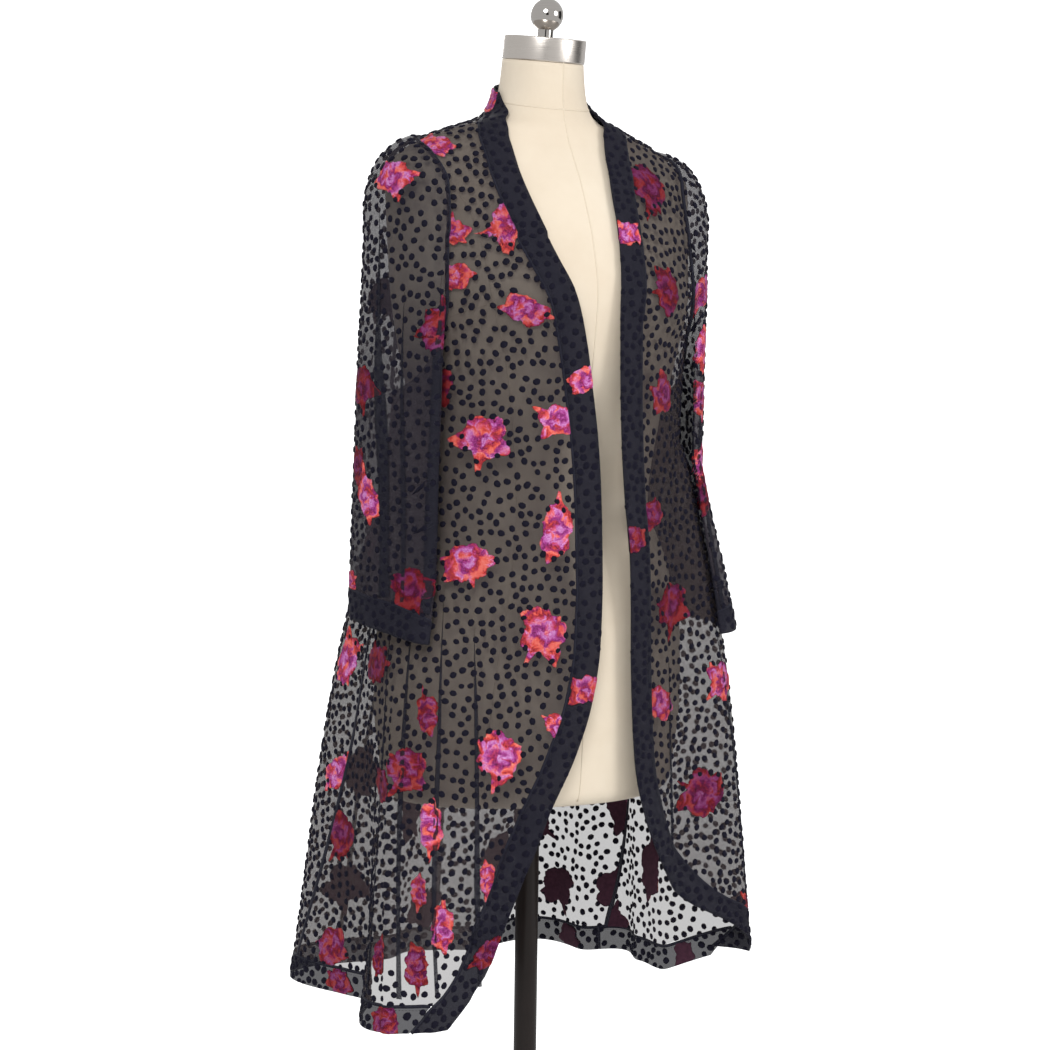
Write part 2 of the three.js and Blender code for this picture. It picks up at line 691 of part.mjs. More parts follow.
function formTorso() {
  const sides = 40;
  const heights = [
    ...[FORM_BOTTOM, 762, 785, 820, 860, 900, 950, 1000, 1040, 1070, 1105, 1150, 1190, 1230],
    ...[1260, 1285, 1310, 1340, 1365, 1385, 1400, 1410, 1418, 1425, 1432, 1437, ARM_TOP, 1447, 1452],
    ...[1457, 1462, NECK_SIDE, 1474, 1482, 1494, 1512],
    NECK_TOP,
  ];
  const rings = heights.map((height) =>
    Array.from({ length: sides }, (_, i) => {
      const angle = angleOf((i / sides) * 360, height);
      const point = starPoint(formReach(angle, height), angle, height);
      const ahead = -point.y - formRing(height).forward;
      if (height === NECK_TOP) point.z -= ahead * Math.tan(CAP.tilt * DEG);
      return point;
    }),
  );
  return stackedRings(rings);
}

function turned(profile, sides) {
  const points = profile.map(([radius, height]) => new THREE.Vector2(radius, height));
  const geometry = new THREE.LatheGeometry(points, sides);
  return geometry.rotateX(Math.PI / 2);
}

const part = new THREE.Group();
const looks = {
  linen: new THREE.MeshStandardMaterial({ color: 0xe6dac6, roughness: 0.9, metalness: 0 }),
  steel: new THREE.MeshStandardMaterial({ color: 0xa89a8c, roughness: 0.35, metalness: 1 }),
  pole: new THREE.MeshStandardMaterial({ color: 0x1d1613, roughness: 0.4, metalness: 0.6 }),
  chiffon: new THREE.MeshStandardMaterial({
    color: 0x6b6266,
    roughness: 0.8,
    metalness: 0,
    transparent: true,
    opacity: 0.7,
  }),
  band: new THREE.MeshStandardMaterial({ color: 0x2d2c36, roughness: 0.8, metalness: 0 }),
};

function add(name, geometry, look, group = part) {
  const mesh = new THREE.Mesh(geometry, looks[look]);
  mesh.name = name;
  group.add(mesh);
}

add("form_torso", formTorso(), "linen");

// The cap and ball stand square on the neck's tilted top.
const neckTop = new THREE.Group();
neckTop.position.set(0, -formRing(NECK_TOP).forward, NECK_TOP);
neckTop.rotation.x = CAP.tilt * DEG;
part.add(neckTop);
const SEAT_GAP = 0.3;
const capFoot = SEAT_GAP;
const capTop = capFoot + CAP.height;
const capBevel = 2;
add(
  "form_neck_cap",
  turned(
    [
      [0, capFoot],
      [CAP.radius - capBevel, capFoot],
      [CAP.radius, capFoot + capBevel],
      [CAP.radius, capTop - capBevel],
      [CAP.radius - capBevel, capTop],
      [0, capTop],
    ],
    32,
  ),
  "steel",
  neckTop,
);
const stemFoot = capTop + SEAT_GAP;
const ballMiddle = stemFoot + STEM.height + Math.sqrt(BALL_RADIUS ** 2 - STEM.radius ** 2);
const stemMeets = Math.asin(STEM.radius / BALL_RADIUS);
const ballArc = evenly(9, Math.PI - stemMeets, 0).map((polar) => [
  BALL_RADIUS * Math.sin(polar),
  ballMiddle + BALL_RADIUS * Math.cos(polar),
]);
ballArc.at(-1)[0] = 0;
add(
  "form_finial",
  turned([[0, stemFoot], [STEM.radius, stemFoot], ...ballArc], 18),
  "steel",
  neckTop,
);

const [poleFoot, poleHead] = [BASE.hubHeight + SEAT_GAP, FORM_BOTTOM - SEAT_GAP];
const pole = new THREE.CylinderGeometry(POLE_RADIUS, POLE_RADIUS, poleHead - poleFoot, 24);
pole.rotateX(Math.PI / 2).translate(0, 0, (poleHead + poleFoot) / 2);
add("form_pole", pole, "pole");
add(
  "form_base",
  turned(
    [
      [0, 0],
      [BASE.radius - 3, 0],
      [BASE.radius, 3],
      [BASE.radius, 8],
      [BASE.radius - 4, 11],
      [BASE.hubRadius + 8, BASE.height],
      [BASE.hubRadius, BASE.height + 6],
      [BASE.hubRadius - 6, BASE.hubHeight],
      [0, BASE.hubHeight],
    ],
    36,
  ),
  "pole",
);

add("back_panel", bodyPatch(backGrid(), PANEL_WALL), "chiffon");
add("front_right", bodyPatch(frontGrid("right"), PANEL_WALL), "chiffon");
add("front_left", bodyPatch(frontGrid("left"), PANEL_WALL), "chiffon");
add("neck_band", neckBand(), "band");
add("front_band_right", frontBand("right"), "band");
add("front_band_left", frontBand("left"), "band");
for (const [name, side] of [
  ["right", -1],
  ["left", 1],
]) {
  add("sleeve_" + name, sleeveTube(side, sleeveShares, PANEL_WALL), "chiffon");
  add("cuff_band_" + name, sleeveTube(side, cuffShares, BAND_WALL), "band");
}
const hemSeam = sideSeam(HEM_LOW);
const straight = (angle) => ({ top: angle, foot: angle });
// The front hem bands start along the front band's seam.
function hemStart(name) {
  const line = LINES[name].panel;
  const clear = name === "left" ? CORNER_TURN : -SEAM_TURN;
  const angleAt = ({ turn, height }) => angleOf(turn, height) + clear;
  return { top: angleAt(crossing(line, HEM_BAND).at), foot: angleAt(line.at(-1)) };
}
add("hem_band_right", hemBand(hemStart("right"), straight(SEAM_TURN - hemSeam), 14), "band");
add("hem_band_left", hemBand(hemStart("left"), straight(hemSeam - SEAM_TURN), 12), "band");
add("hem_band_back", hemBand(straight(-hemSeam), straight(hemSeam - 360), 24), "band");

export default part;
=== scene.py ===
"""The looks of a sheer kimono with burn-out velvet dots and roses, open at the front, on a linen
dress form with a round stand. Lengths are worked out in millimetres, as on the solids, and put
into the meshes in metres. Each cloth is a thin closed shell on the solids' own surfaces, and the
velvet lies in it as raised dots and roses cut off at the seams."""

import math

import bpy
import numpy as np
from mathutils import Matrix, Vector


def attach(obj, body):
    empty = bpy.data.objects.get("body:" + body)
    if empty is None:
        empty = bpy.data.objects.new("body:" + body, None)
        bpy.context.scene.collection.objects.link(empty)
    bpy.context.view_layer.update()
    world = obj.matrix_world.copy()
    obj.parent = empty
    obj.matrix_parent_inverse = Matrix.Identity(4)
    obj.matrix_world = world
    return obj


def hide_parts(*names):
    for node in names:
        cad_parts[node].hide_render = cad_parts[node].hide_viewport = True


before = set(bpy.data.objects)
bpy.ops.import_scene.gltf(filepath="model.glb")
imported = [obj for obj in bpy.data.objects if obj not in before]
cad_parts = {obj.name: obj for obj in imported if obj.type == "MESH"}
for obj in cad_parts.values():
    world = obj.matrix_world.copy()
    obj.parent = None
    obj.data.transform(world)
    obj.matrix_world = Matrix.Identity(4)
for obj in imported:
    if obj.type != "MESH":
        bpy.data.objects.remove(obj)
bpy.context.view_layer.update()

# Sizes in millimetres, the same as the solids' own: the form, the hanging body and the band lines.
NECK_SIDE = 1468.0  # where the shoulder line meets the neck
ARM_TOP = 1442.0  # armhole seam on the shoulder line
UNDERARM = 1180.0
FORM_BOTTOM = 755.0
NECK_TOP = 1532.0
BACK_NECK = 1483.0
STAND_COLLAR = 30.0
COLLAR_SIDE = 1496.0
SEAM_GAP = 0.6
REST_GAP, CHEST_GAP, COLLAR_GAP = 1.6, 5.0, 4.0
BAND_WIDTH = 29.0
HEM_BAND = 26.0
CUFF_BAND = 26.0
HALF_GAP_TURN = 0.4
SEAM_TURN = 0.3
HEM_LOW = 538.0
WAIST = 1000.0
BAND_FOOT = NECK_SIDE + 0.8
DRAPE_TOP = 1340.0
CLOSER = 1.35  # rows lie closer together at the shoulder

# height, half width, depth to the front and to the back, how far the ring's middle lies forward
FORM_RINGS = [
    (755, 154, 99, 102, 0), (762, 163, 105, 109, 0), (800, 171, 110, 116, 0),
    (860, 177, 113, 121, 0), (920, 176, 113, 117, 0), (1000, 158, 105, 102, 0),
    (1070, 132, 95, 88, 1), (1150, 141, 103, 89, 4), (1230, 160, 116, 94, 6),
    (1285, 170, 118, 98, 8), (1340, 174, 108, 101, 8), (1380, 177, 93, 95, 7),
    (1405, 179, 82, 87, 6), (1420, 172, 74, 82, 5), (1432, 158, 68, 77, 4),
    (1442, 141, 63, 72, 3), (1451, 119, 59, 67, 3), (1460, 92, 55, 62, 4),
    (1468, 67, 51, 57, 5), (1477, 55, 48, 51, 6), (1494, 48, 45, 46, 7),
    (1512, 45, 44, 44, 8), (1532, 43, 43, 43, 9),
]
BUST = {"angle": 38, "height": 1275, "out": 13, "angle_spread": 24, "height_spread": 46}
DRAPE_RINGS = [
    (538, 190, 130, 205), (640, 187, 130, 192), (760, 186, 129, 178), (880, 183, 129, 160),
    (980, 174, 130, 143), (1070, 164, 131, 126), (1180, 161, 131, 111), (1285, 170, 128, 102),
    (1340, 174, 108, 101),
]
# direction, half width in degrees, how far out at the hem, where it starts, how it grows downwards
FOLDS = [
    (-67, 26, 66, 1000, 1.2), (-29, 9, 9, 900, 1), (-97, 11, -12, 900, 1),
    (-132, 30, 67, 1175, 0.62), (-172, 12, 13, 1000, 1), (169, 9, -9, 980, 1),
    (147, 20, 50, 1100, 0.8), (121, 13, 34, 1060, 0.8), (95, 14, -10, 960, 1.2),
    (71, 20, 75, 1130, 0.6),
]
# free edge of the front band from the neck side to the hem: direction, height
EDGE = {
    "right": [
        (-90, 1496), (-58, 1462), (-41, 1398), (-23, 1325), (-11, 1268), (-3.5, 1175),
        (1.5, 1090), (4, 970), (3, 905), (-1.5, 855), (-10, 802), (-19, 760), (-27, 712),
        (-35, 662), (-41.5, 615), (-48, 573), (-54, 538),
    ],
    "left": [
        (90, 1496), (37, 1450), (19, 1385), (14, 1330), (10, 1275), (11, 1175), (15, 1080),
        (20, 1000), (21.5, 900), (24, 810), (28.5, 759), (37.5, 709), (50, 660), (62, 620),
        (73, 572),
    ],
}
HEM = [(-180, 541), (-100, 541), (-55, 538), (73, 572), (95, 541), (180, 541)]
SIDE_SEAM = [(538, 127), (760, 113), (1000, 98), (1180, 93)]
ARMHOLE_FRONT = [
    (1180, 93), (1194, 80), (1225, 70), (1280, 64.5), (1340, 66), (1395, 69), (1424, 77),
    (1442, 90),
]
ARMHOLE_BACK = [
    (1180, 93), (1194, 105), (1225, 111), (1290, 114.5), (1350, 112), (1410, 104), (1442, 90),
]
SLEEVE = {
    "angle": 87, "half_spread": 23, "half": 186, "depth": 120, "clearance": 4.5, "cuff": 941,
    "cuff_tilt": 15, "cap_drop": 71, "underarm_drop": 45, "cap_share": 0.14, "overlap": 2.3,
    "chest": 1330, "wall": 1.1,
}
SLEEVE_DEPTH = {"right": (12, 18), "left": (10, 14)}
SLEEVE_FOLDS = [(0.31, 0.07, 4), (0.43, 0.06, -3), (0.58, 0.08, 3.5), (0.7, 0.06, -3)]
SLEEVE_LENGTH = 440.0
SIGN = {"right": -1, "left": 1}


def smooth_line(points):
    """A smooth line through (x, y) points: a cubic on each step whose slope at a point is the
    weighted harmonic mean of its neighbours' slopes, or nought at a turning point."""
    x, y = np.array(sorted(points), float).T
    step = np.diff(x)
    rise = np.diff(y) / step
    slope = np.concatenate([rise[:1], np.zeros(len(x) - 2), rise[-1:]])
    near, far = 2 * step[1:] + step[:-1], step[1:] + 2 * step[:-1]
    same = rise[:-1] * rise[1:] > 0
    before, after = np.where(same, rise[:-1], 1), np.where(same, rise[1:], 1)
    slope[1:-1] = np.where(same, (near + far) / (near / before + far / after), 0)

    def read(value):
        v = np.clip(value, x[0], x[-1])
        i = np.clip(np.searchsorted(x, v, side="right") - 1, 0, len(x) - 2)
        t = (v - x[i]) / step[i]
        s = 1 - t
        start = y[i] * (1 + 2 * t) + slope[i] * step[i] * t
        end = y[i + 1] * (3 - 2 * t) - slope[i + 1] * step[i] * s
        return s * s * start + t * t * end

    return read


def ring_lines(rows):
    """One smooth line over height for each column of a table of rings."""
    return [smooth_line([(row[0], row[k]) for row in rows]) for k in range(1, len(rows[0]))]


form_half, form_front, form_back, form_forward = ring_lines(FORM_RINGS)
drape_half, drape_front, drape_back = ring_lines(DRAPE_RINGS)
hem_height = smooth_line(HEM)
side_seam = smooth_line(SIDE_SEAM)
armhole_front = smooth_line([(h, a) for h, a in ARMHOLE_FRONT])
armhole_back = smooth_line([(h, a) for h, a in ARMHOLE_BACK])


def sin(degrees):
    """The sine of an angle in degrees."""
    return np.sin(np.radians(degrees))


def cos(degrees):
    """The cosine of an angle in degrees."""
    return np.cos(np.radians(degrees))


def wrap(angle):
    """The same direction between -180 and 180 degrees."""
    return (angle + 180) % 360 - 180


def unit(value):
    """A value held between nought and one."""
    return np.clip(value, 0, 1)


def ease(t):
    """The cubic from nought to one that starts and ends level."""
    return t * t * (3 - 2 * t)


def mix(a, b, t):
    """The straight line from a to b, at the share t."""
    return a + (b - a) * t


def bell(offset, spread):
    """exp of minus the square of offset over spread."""
    return np.exp(-((offset / spread) ** 2))


def hump(offset, spread):
    """One smooth wave, a squared cosine, that is nought outside spread."""
    return np.where(np.abs(offset) < spread, cos(np.clip(offset / spread, -1, 1) * 90) ** 2, 0)


def oval(half, front, back, angle):
    """Distance from a ring's middle to its oval outline in a direction."""
    depth = cos(angle) / np.where(cos(angle) > 0, front, back)
    return 1 / np.hypot(sin(angle) / half, depth)


def form_reach(angle, height):
    """The form's ring, with the bust as two bells on it."""
    bust = sum(
        bell(wrap(angle - side * BUST["angle"]), BUST["angle_spread"]) for side in (-1, 1)
    )
    out = BUST["out"] * bust * bell(height - BUST["height"], BUST["height_spread"])
    return oval(form_half(height), form_front(height), form_back(height), angle) + out


def fold_reach(angle, height):
    """The sum of the hanging folds, each a wave round the body that grows towards the hem."""
    reach = 0.0
    for direction, spread, out, start, grow in FOLDS:
        down = unit((start - height) / (start - HEM_LOW)) ** grow
        reach = reach + out * hump(wrap(angle - direction), spread) * down
    return reach


def gap_at(angle, height):
    """How far the cloth lies off the form: closest along the shoulder line."""
    off_shoulder = np.abs(90 - np.abs(wrap(angle)))
    chest = mix(REST_GAP, CHEST_GAP, ease(unit((off_shoulder - 4) / 30)))
    return mix(chest, COLLAR_GAP, ease(unit((height - NECK_SIDE + 4) / 40)))


def drape_reach(angle, height):
    """The free drape and its folds, held off the form where that is wider."""
    hanging = oval(drape_half(height), drape_front(height), drape_back(height), angle)
    hanging = hanging + fold_reach(angle, height)
    return np.maximum(hanging, form_reach(angle, height) + gap_at(angle, height))


def angle_of(turn, height):
    """The direction from the pole of a point that lies at a turn on the form's oval ring."""
    depth = np.where(cos(turn) > 0, form_front(height), form_back(height))
    return np.degrees(np.arctan2(sin(turn) * form_half(height), cos(turn) * depth))


def turn_of(angle, height):
    """The turn on the form's oval ring of what lies in a direction from the pole."""
    depth = np.where(cos(angle) > 0, form_front(height), form_back(height))
    return np.degrees(np.arctan2(sin(angle) / form_half(height), cos(angle) / depth))


def star_point(reach, angle, height):
    """The point at a reach from the ring's middle in a direction; nought is the wearer's front."""
    y = -(form_forward(height) + reach * cos(angle))
    return np.stack(np.broadcast_arrays(reach * sin(angle), y, height), -1)


def form_point(turn, height):
    """The form's surface: its ring, with the bust, read by turn and height."""
    angle = angle_of(turn, height)
    return star_point(form_reach(angle, height), angle, height)


def unit_length(vectors):
    """Vectors of length one."""
    return vectors / np.linalg.norm(vectors, axis=-1, keepdims=True)


def normal_of(surface, turn, height, steps=(0.4, 0.6)):
    """Outward normal of a surface given by two parameters, by small differences."""
    across = surface(turn + steps[0], height) - surface(turn - steps[0], height)
    along = surface(turn, height + steps[1]) - surface(turn, height - steps[1])
    return unit_length(np.cross(across, along))


def body_point(turn, height):
    """The kimono's body: a gap off the form at the shoulders, and the free drape below."""
    turn, height = np.broadcast_arrays(np.asarray(turn, float), np.asarray(height, float))
    angle = angle_of(turn, height)
    point = star_point(drape_reach(angle, height), angle, height)
    upper = height >= DRAPE_TOP
    if upper.any():
        t, h, a = turn[upper], height[upper], angle[upper]
        gap = gap_at(a, h)[..., None]
        point[upper] = form_point(t, h) + normal_of(form_point, t, h) * gap
    return point


def inset(place, ahead, behind, side, distance):
    """A place on the body moved towards the side seam: square to the edge above the waist, and
    level below it, where the distance grows with the edge's slope. Eight short steps."""
    tangent = unit_length(body_point(*ahead) - body_point(*behind))
    turn, height = place
    steps, least_slope = 8, 0.12
    for _ in range(steps):
        here = body_point(turn, height)
        per_turn = (body_point(turn + 0.1, height) - here) * 10
        per_height = (body_point(turn, height - 0.1) - here) * 10
        if place[1] < WAIST:
            move_turn, drop = side, 0.0
            square = math.hypot(tangent[2], least_slope)
        else:
            along = float(per_height @ tangent)
            move_turn = side * abs(along)
            drop = -side * math.copysign(1, along) * float(per_turn @ tangent)
            square = 1.0
        share = distance / steps / np.linalg.norm(per_turn * move_turn + per_height * drop)
        turn += move_turn * share / square
        height -= drop * share / square
    furthest = 90 - HALF_GAP_TURN
    if abs(turn) > furthest and place[1] > ARM_TOP:
        turn = side * furthest
    return turn, height


EDGE_ROWS = 22


def edge_places(rows, count):
    """Places down a table's edge, closer together at its start, evenly graded by length."""
    index = range(len(rows))
    angle = smooth_line([(i, rows[i][0]) for i in index])
    height = smooth_line([(i, rows[i][1]) for i in index])
    t = np.linspace(0, len(rows) - 1, 241)
    heights = height(t)
    turns = turn_of(angle(t), heights)
    points = body_point(turns, heights)
    length = np.concatenate([[0], np.cumsum(np.linalg.norm(np.diff(points, axis=0), axis=1))])
    wanted = np.linspace(0, 1, count + 1) ** CLOSER * length[-1]
    return np.interp(wanted, length, turns), np.interp(wanted, length, heights)


def front_lines(name):
    """Free edge and seam line of a front band and the panel's line, each (rows, 2)."""
    side = SIGN[name]
    free = np.stack(edge_places(EDGE[name], EDGE_ROWS), 1)
    last = len(free) - 1

    def moved(distance):
        return np.array([
            inset(free[i], free[min(i + 1, last)], free[max(i - 1, 0)], side, distance)
            for i in range(last + 1)
        ])

    lines = {"free": free, "seam": moved(BAND_WIDTH), "panel": moved(BAND_WIDTH + 1.5 * SEAM_GAP)}
    edge = side * (90 - HALF_GAP_TURN)
    lines["free"][0] = edge, COLLAR_SIDE
    lines["seam"][0] = edge, BAND_FOOT
    lines["panel"][0] = edge, NECK_SIDE
    return lines


LINES = {name: front_lines(name) for name in SIGN}


def finer(line, count):
    """A line of places with more rows between its own, smooth in turn and in height."""
    at = np.linspace(0, len(line) - 1, count)
    return np.stack([smooth_line(list(enumerate(line[:, k])))(at) for k in range(2)], 1)


def crossing(line, lift):
    """The row after which a line crosses a height above the hem, and the place itself."""
    above = line[:, 1] - hem_height(angle_of(line[:, 0], line[:, 1])) - lift
    after = int(np.argmax(above < 0))
    share = above[after - 1] / (above[after - 1] - above[after])
    return after, mix(line[after - 1], line[after], share)


def front_grid(name, rows, columns):
    """Places of a front panel: from the band's line across to the armhole and the side seam."""
    side, line = SIGN[name], LINES[name]["panel"]
    lift = HEM_BAND + SEAM_GAP
    after, foot = crossing(line, lift)
    line = np.vstack([line[:after], foot])
    steps = len(line) - 1
    arm = int(np.argmax(line[:, 1] < UNDERARM))
    bottom = hem_height(side * side_seam(HEM_LOW)) + lift
    at = np.linspace(0, steps, rows)
    line = finer(line, rows)
    in_arm = at <= arm
    height = np.where(
        in_arm,
        mix(ARM_TOP, UNDERARM, unit(at / arm) ** CLOSER),
        mix(UNDERARM, bottom, unit((at - arm) / (steps - arm))),
    )
    angle = np.where(in_arm, armhole_front(height), side_seam(height))
    turn = turn_of(side * angle, height) - side * HALF_GAP_TURN
    seam = np.stack([turn, height], 1)
    grid = mix(line[:, None], seam[:, None], np.linspace(0, 1, columns)[None, :, None])
    low = hem_height(angle_of(grid[-1, :, 0], grid[-1, :, 1])) + lift
    settle = unit(at - (steps - 1))[:, None]
    grid[:, :, 1] += settle * (low - grid[-1, :, 1])
    return grid


def back_grid(rows, columns):
    """Places of the back: shoulders and neckline at the top, then level rows to the hem."""
    lift = HEM_BAND + SEAM_GAP
    bottom = hem_height(180.0) + lift
    t = np.linspace(0, 1, columns)
    shoulder, edge, blend = 0.3, 90 + HALF_GAP_TURN, 1396.0

    def level(height, angle):
        side = turn_of(angle, height) + HALF_GAP_TURN
        return mix(-side, side - 360, t), np.full(columns, height)

    run = unit((t - shoulder) / (1 - 2 * shoulder))
    rise = np.where(t < shoulder, t / shoulder, np.where(t > 1 - shoulder, (1 - t) / shoulder, 1))
    top_height = mix(ARM_TOP, NECK_SIDE, unit(rise)) + np.where(
        (t >= shoulder) & (t <= 1 - shoulder), (BACK_NECK - NECK_SIDE) * sin(180 * run), 0
    )
    top_turn = np.where(t < shoulder, -edge, np.where(t > 1 - shoulder, edge - 360,
                                                      mix(-edge, edge - 360, run)))
    blend_turn, blend_height = level(blend, armhole_back(blend))
    upper = rows // 7
    grid = []
    for share in (np.arange(upper) / upper) ** CLOSER:
        turn = mix(top_turn, blend_turn, share)
        height = mix(top_height, blend_height, share)
        armhole = -turn_of(armhole_back(height[0]), height[0]) - HALF_GAP_TURN
        turn = turn + (armhole - turn[0]) * (1 - 2 * t)
        grid.append(np.stack([turn, height], 1))
    for height in np.linspace(blend, bottom, rows - upper):
        angle = armhole_back(height) if height > UNDERARM else side_seam(height)
        grid.append(np.stack(level(height, angle), 1))
    return np.array(grid)


def neck_band_grid(rows, columns):
    """Places of the standing collar round the back, from one neck side to the other: both its
    edges rise towards the middle by a half sine."""
    edge = 90 + HALF_GAP_TURN
    t = np.linspace(0, 1, columns)
    bow = sin(180 * t)
    foot = BAND_FOOT + (BACK_NECK - NECK_SIDE) * bow
    head = COLLAR_SIDE + (BACK_NECK + STAND_COLLAR - COLLAR_SIDE) * bow
    turn = mix(-edge, edge - 360, t)
    share = np.linspace(0, 1, rows)[:, None]
    height = mix(head, foot, share)
    return np.stack(np.broadcast_arrays(turn, height), -1)


def front_band_grid(name, rows, columns):
    """Places of a front band, straight across between its free edge and its seam line."""
    free, seam = (finer(LINES[name][key], rows) for key in ("free", "seam"))
    return mix(free[:, None], seam[:, None], np.linspace(0, 1, columns)[None, :, None])


def hem_grid(start, end, rows, columns):
    """Places of a hem band between two directions, each given for its top and its lower edge."""
    t = np.linspace(0, 1, columns)
    grid = []
    for share in np.linspace(0, 1, rows):
        first, last = mix(start[0], start[1], share), mix(end[0], end[1], share)
        height = hem_height(wrap(mix(first, last, t))) + mix(HEM_BAND, 0, share)
        turns = [turn_of(wrap(a), height) for a in (first, last)]
        turns = [x + 360 * np.round((a - x) / 360) for x, a in zip(turns, (first, last))]
        grid.append(np.stack([mix(turns[0], turns[1], t), height], 1))
    return np.array(grid)


def hem_starts():
    """Where the three hem bands start and end, as (top, foot) directions."""
    seam = float(side_seam(HEM_LOW))
    spans = {"back": ((-seam, -seam), (seam - 360, seam - 360))}
    for name, side in SIGN.items():
        line = LINES[name]["panel"]
        clear = SEAM_TURN if name == "left" else -SEAM_TURN
        top = crossing(line, HEM_BAND)[1]
        start = tuple(float(angle_of(*place)) + clear for place in (top, line[-1]))
        end = side * (seam - SEAM_TURN)
        spans[name] = (start, (end, end))
    return spans


def sleeve_inner(angle, height):
    """The reach of a sleeve's inner side: an oval round the pole, clear of the body's drape."""
    ring = oval(SLEEVE["half"], SLEEVE["depth"], SLEEVE["depth"], angle)
    return np.maximum(ring, drape_reach(angle, height) + SLEEVE["clearance"])


def sleeve_point(name, around, along):
    """A hanging sleeve: a quarter ellipse over the cap, then straight down beside the body.
    Around runs from the underarm over the front, the shoulder and the back."""
    side = SIGN[name]
    around, along = np.broadcast_arrays(np.asarray(around, float) % 1, np.asarray(along, float))
    height0 = mix(UNDERARM, ARM_TOP, np.sin(np.pi * around) ** 2)
    edge = np.where(around <= 0.5, armhole_front(height0), armhole_back(height0))
    turn0 = turn_of(side * edge, height0)
    start = body_point(turn0, height0)
    start = start + normal_of(body_point, turn0, height0) * (SLEEVE["wall"] + SLEEVE["overlap"])
    swing = np.sin(2 * np.pi * around)
    opened = 0.5 - 0.5 * np.cos(2 * np.pi * around)
    cuff = SLEEVE["cuff"] - SLEEVE["cuff_tilt"] * swing
    drop = mix(SLEEVE["underarm_drop"], SLEEVE["cap_drop"], opened**2)
    share = SLEEVE["cap_share"]
    quarter = unit(along / share) * 90
    down = unit((along - share) / (1 - share))
    height = np.where(
        along < share, start[..., 2] - drop * (1 - cos(quarter)), mix(start[..., 2] - drop, cuff, down)
    )
    # past the cuff's edge, so that small differences there stay true
    height = height - np.maximum(along - 1, 0) * (start[..., 2] - drop - cuff)
    angle = side * (SLEEVE["angle"] - SLEEVE["half_spread"] * swing)
    top, foot = SLEEVE_DEPTH[name]
    chest = SLEEVE["chest"]
    depth = mix(top, foot, unit((chest - height) / (chest - cuff))) * opened
    fullness = opened * foot / SLEEVE_DEPTH["right"][1]
    for middle, spread, out in SLEEVE_FOLDS:
        depth = depth + fullness * out * hump(around - middle, spread) * ease(unit(along * 2))
    hang = star_point(sleeve_inner(angle, np.minimum(height, chest)) + depth, angle, height)
    blend = sin(quarter)[..., None]
    point = mix(start, hang, blend)
    point[..., 2] = height
    return point


# Creases and soft troughs that the cloth shows on its solid's form, in millimetres:
# direction, height, half width across, half length down, how far out, lean in degrees per 100 mm
BODY_CREASES = [
    (-48, 660, 2.2, 330, 6.0, 1.0), (-59, 660, 2.2, 330, 7.0, 2.3), (-69, 660, 2.2, 330, 7.0, 3.5),
    (-38, 760, 4.5, 190, 2.6, 1.5), (-52, 700, 4, 150, -2.4, 2.0), (-75, 720, 5, 180, 3.0, 1.0),
    (-88, 800, 4, 190, -2.2, -0.5), (-30, 640, 3.5, 90, -1.8, 2.5), (-62, 930, 6, 120, 1.8, 0.6),
    (-104, 740, 5, 200, 2.6, 0.8), (-150, 760, 6, 220, 3.0, 0.5), (-165, 700, 5, 160, -2.6, 0.3),
    (178, 760, 6, 210, 2.4, 0.0), (158, 720, 5, 190, -2.8, -0.4), (134, 740, 5, 200, 2.6, -0.8),
    (110, 760, 5, 180, -2.2, -0.6), (84, 740, 4.5, 160, 2.4, 0.8), (58, 760, 4, 170, -2.0, 0.8),
    (44, 860, 4.5, 130, 1.8, 1.0), (-64, 1225, 7, 60, 1.6, -14), (64, 1215, 7, 60, 1.6, 14),
    (-58, 1330, 6, 55, 1.4, 10), (57, 1335, 6, 55, 1.4, -10), (-146, 1240, 9, 70, 1.6, 9),
    (146, 1240, 9, 70, 1.6, -9), (180, 1180, 8, 120, -1.6, 0),
]
# around the sleeve, along it, half width around, half length along, how far out, lean
SLEEVE_CREASES = [
    (0.22, 0.55, 0.035, 0.3, 2.0, 0.03), (0.36, 0.62, 0.04, 0.28, -2.4, -0.05),
    (0.47, 0.45, 0.035, 0.3, 2.2, 0.04), (0.55, 0.75, 0.045, 0.22, -2.2, -0.03),
    (0.66, 0.5, 0.04, 0.3, 2.0, 0.05), (0.8, 0.6, 0.035, 0.3, 1.6, -0.04),
    (0.42, 0.12, 0.03, 0.07, 1.4, 0.02), (0.5, 0.11, 0.026, 0.07, -1.2, 0.0),
    (0.58, 0.12, 0.03, 0.07, 1.4, -0.02), (0.3, 0.3, 0.05, 0.05, 1.6, 0.3),
    (0.52, 0.36, 0.06, 0.045, -1.8, -0.35), (0.7, 0.42, 0.05, 0.05, 1.6, 0.3),
]


def kimono_body(turn, height):
    """The body's surface moved along its own direction from the pole by the sum of the creases,
    each a wave across times a wave down, leaning as it falls."""
    point = body_point(turn, height)
    angle = angle_of(turn, height)
    out = 0.0
    for direction, middle, wide, long, depth, lean in BODY_CREASES:
        shifted = wrap(angle - direction - lean * (middle - height) / 100)
        out = out + depth * hump(shifted, wide) * hump(height - middle, long)
    outward = np.stack(np.broadcast_arrays(sin(angle), -cos(angle), 0.0), -1)
    return point + outward * (out * unit((DRAPE_TOP + 60 - height) / 60))[..., None]


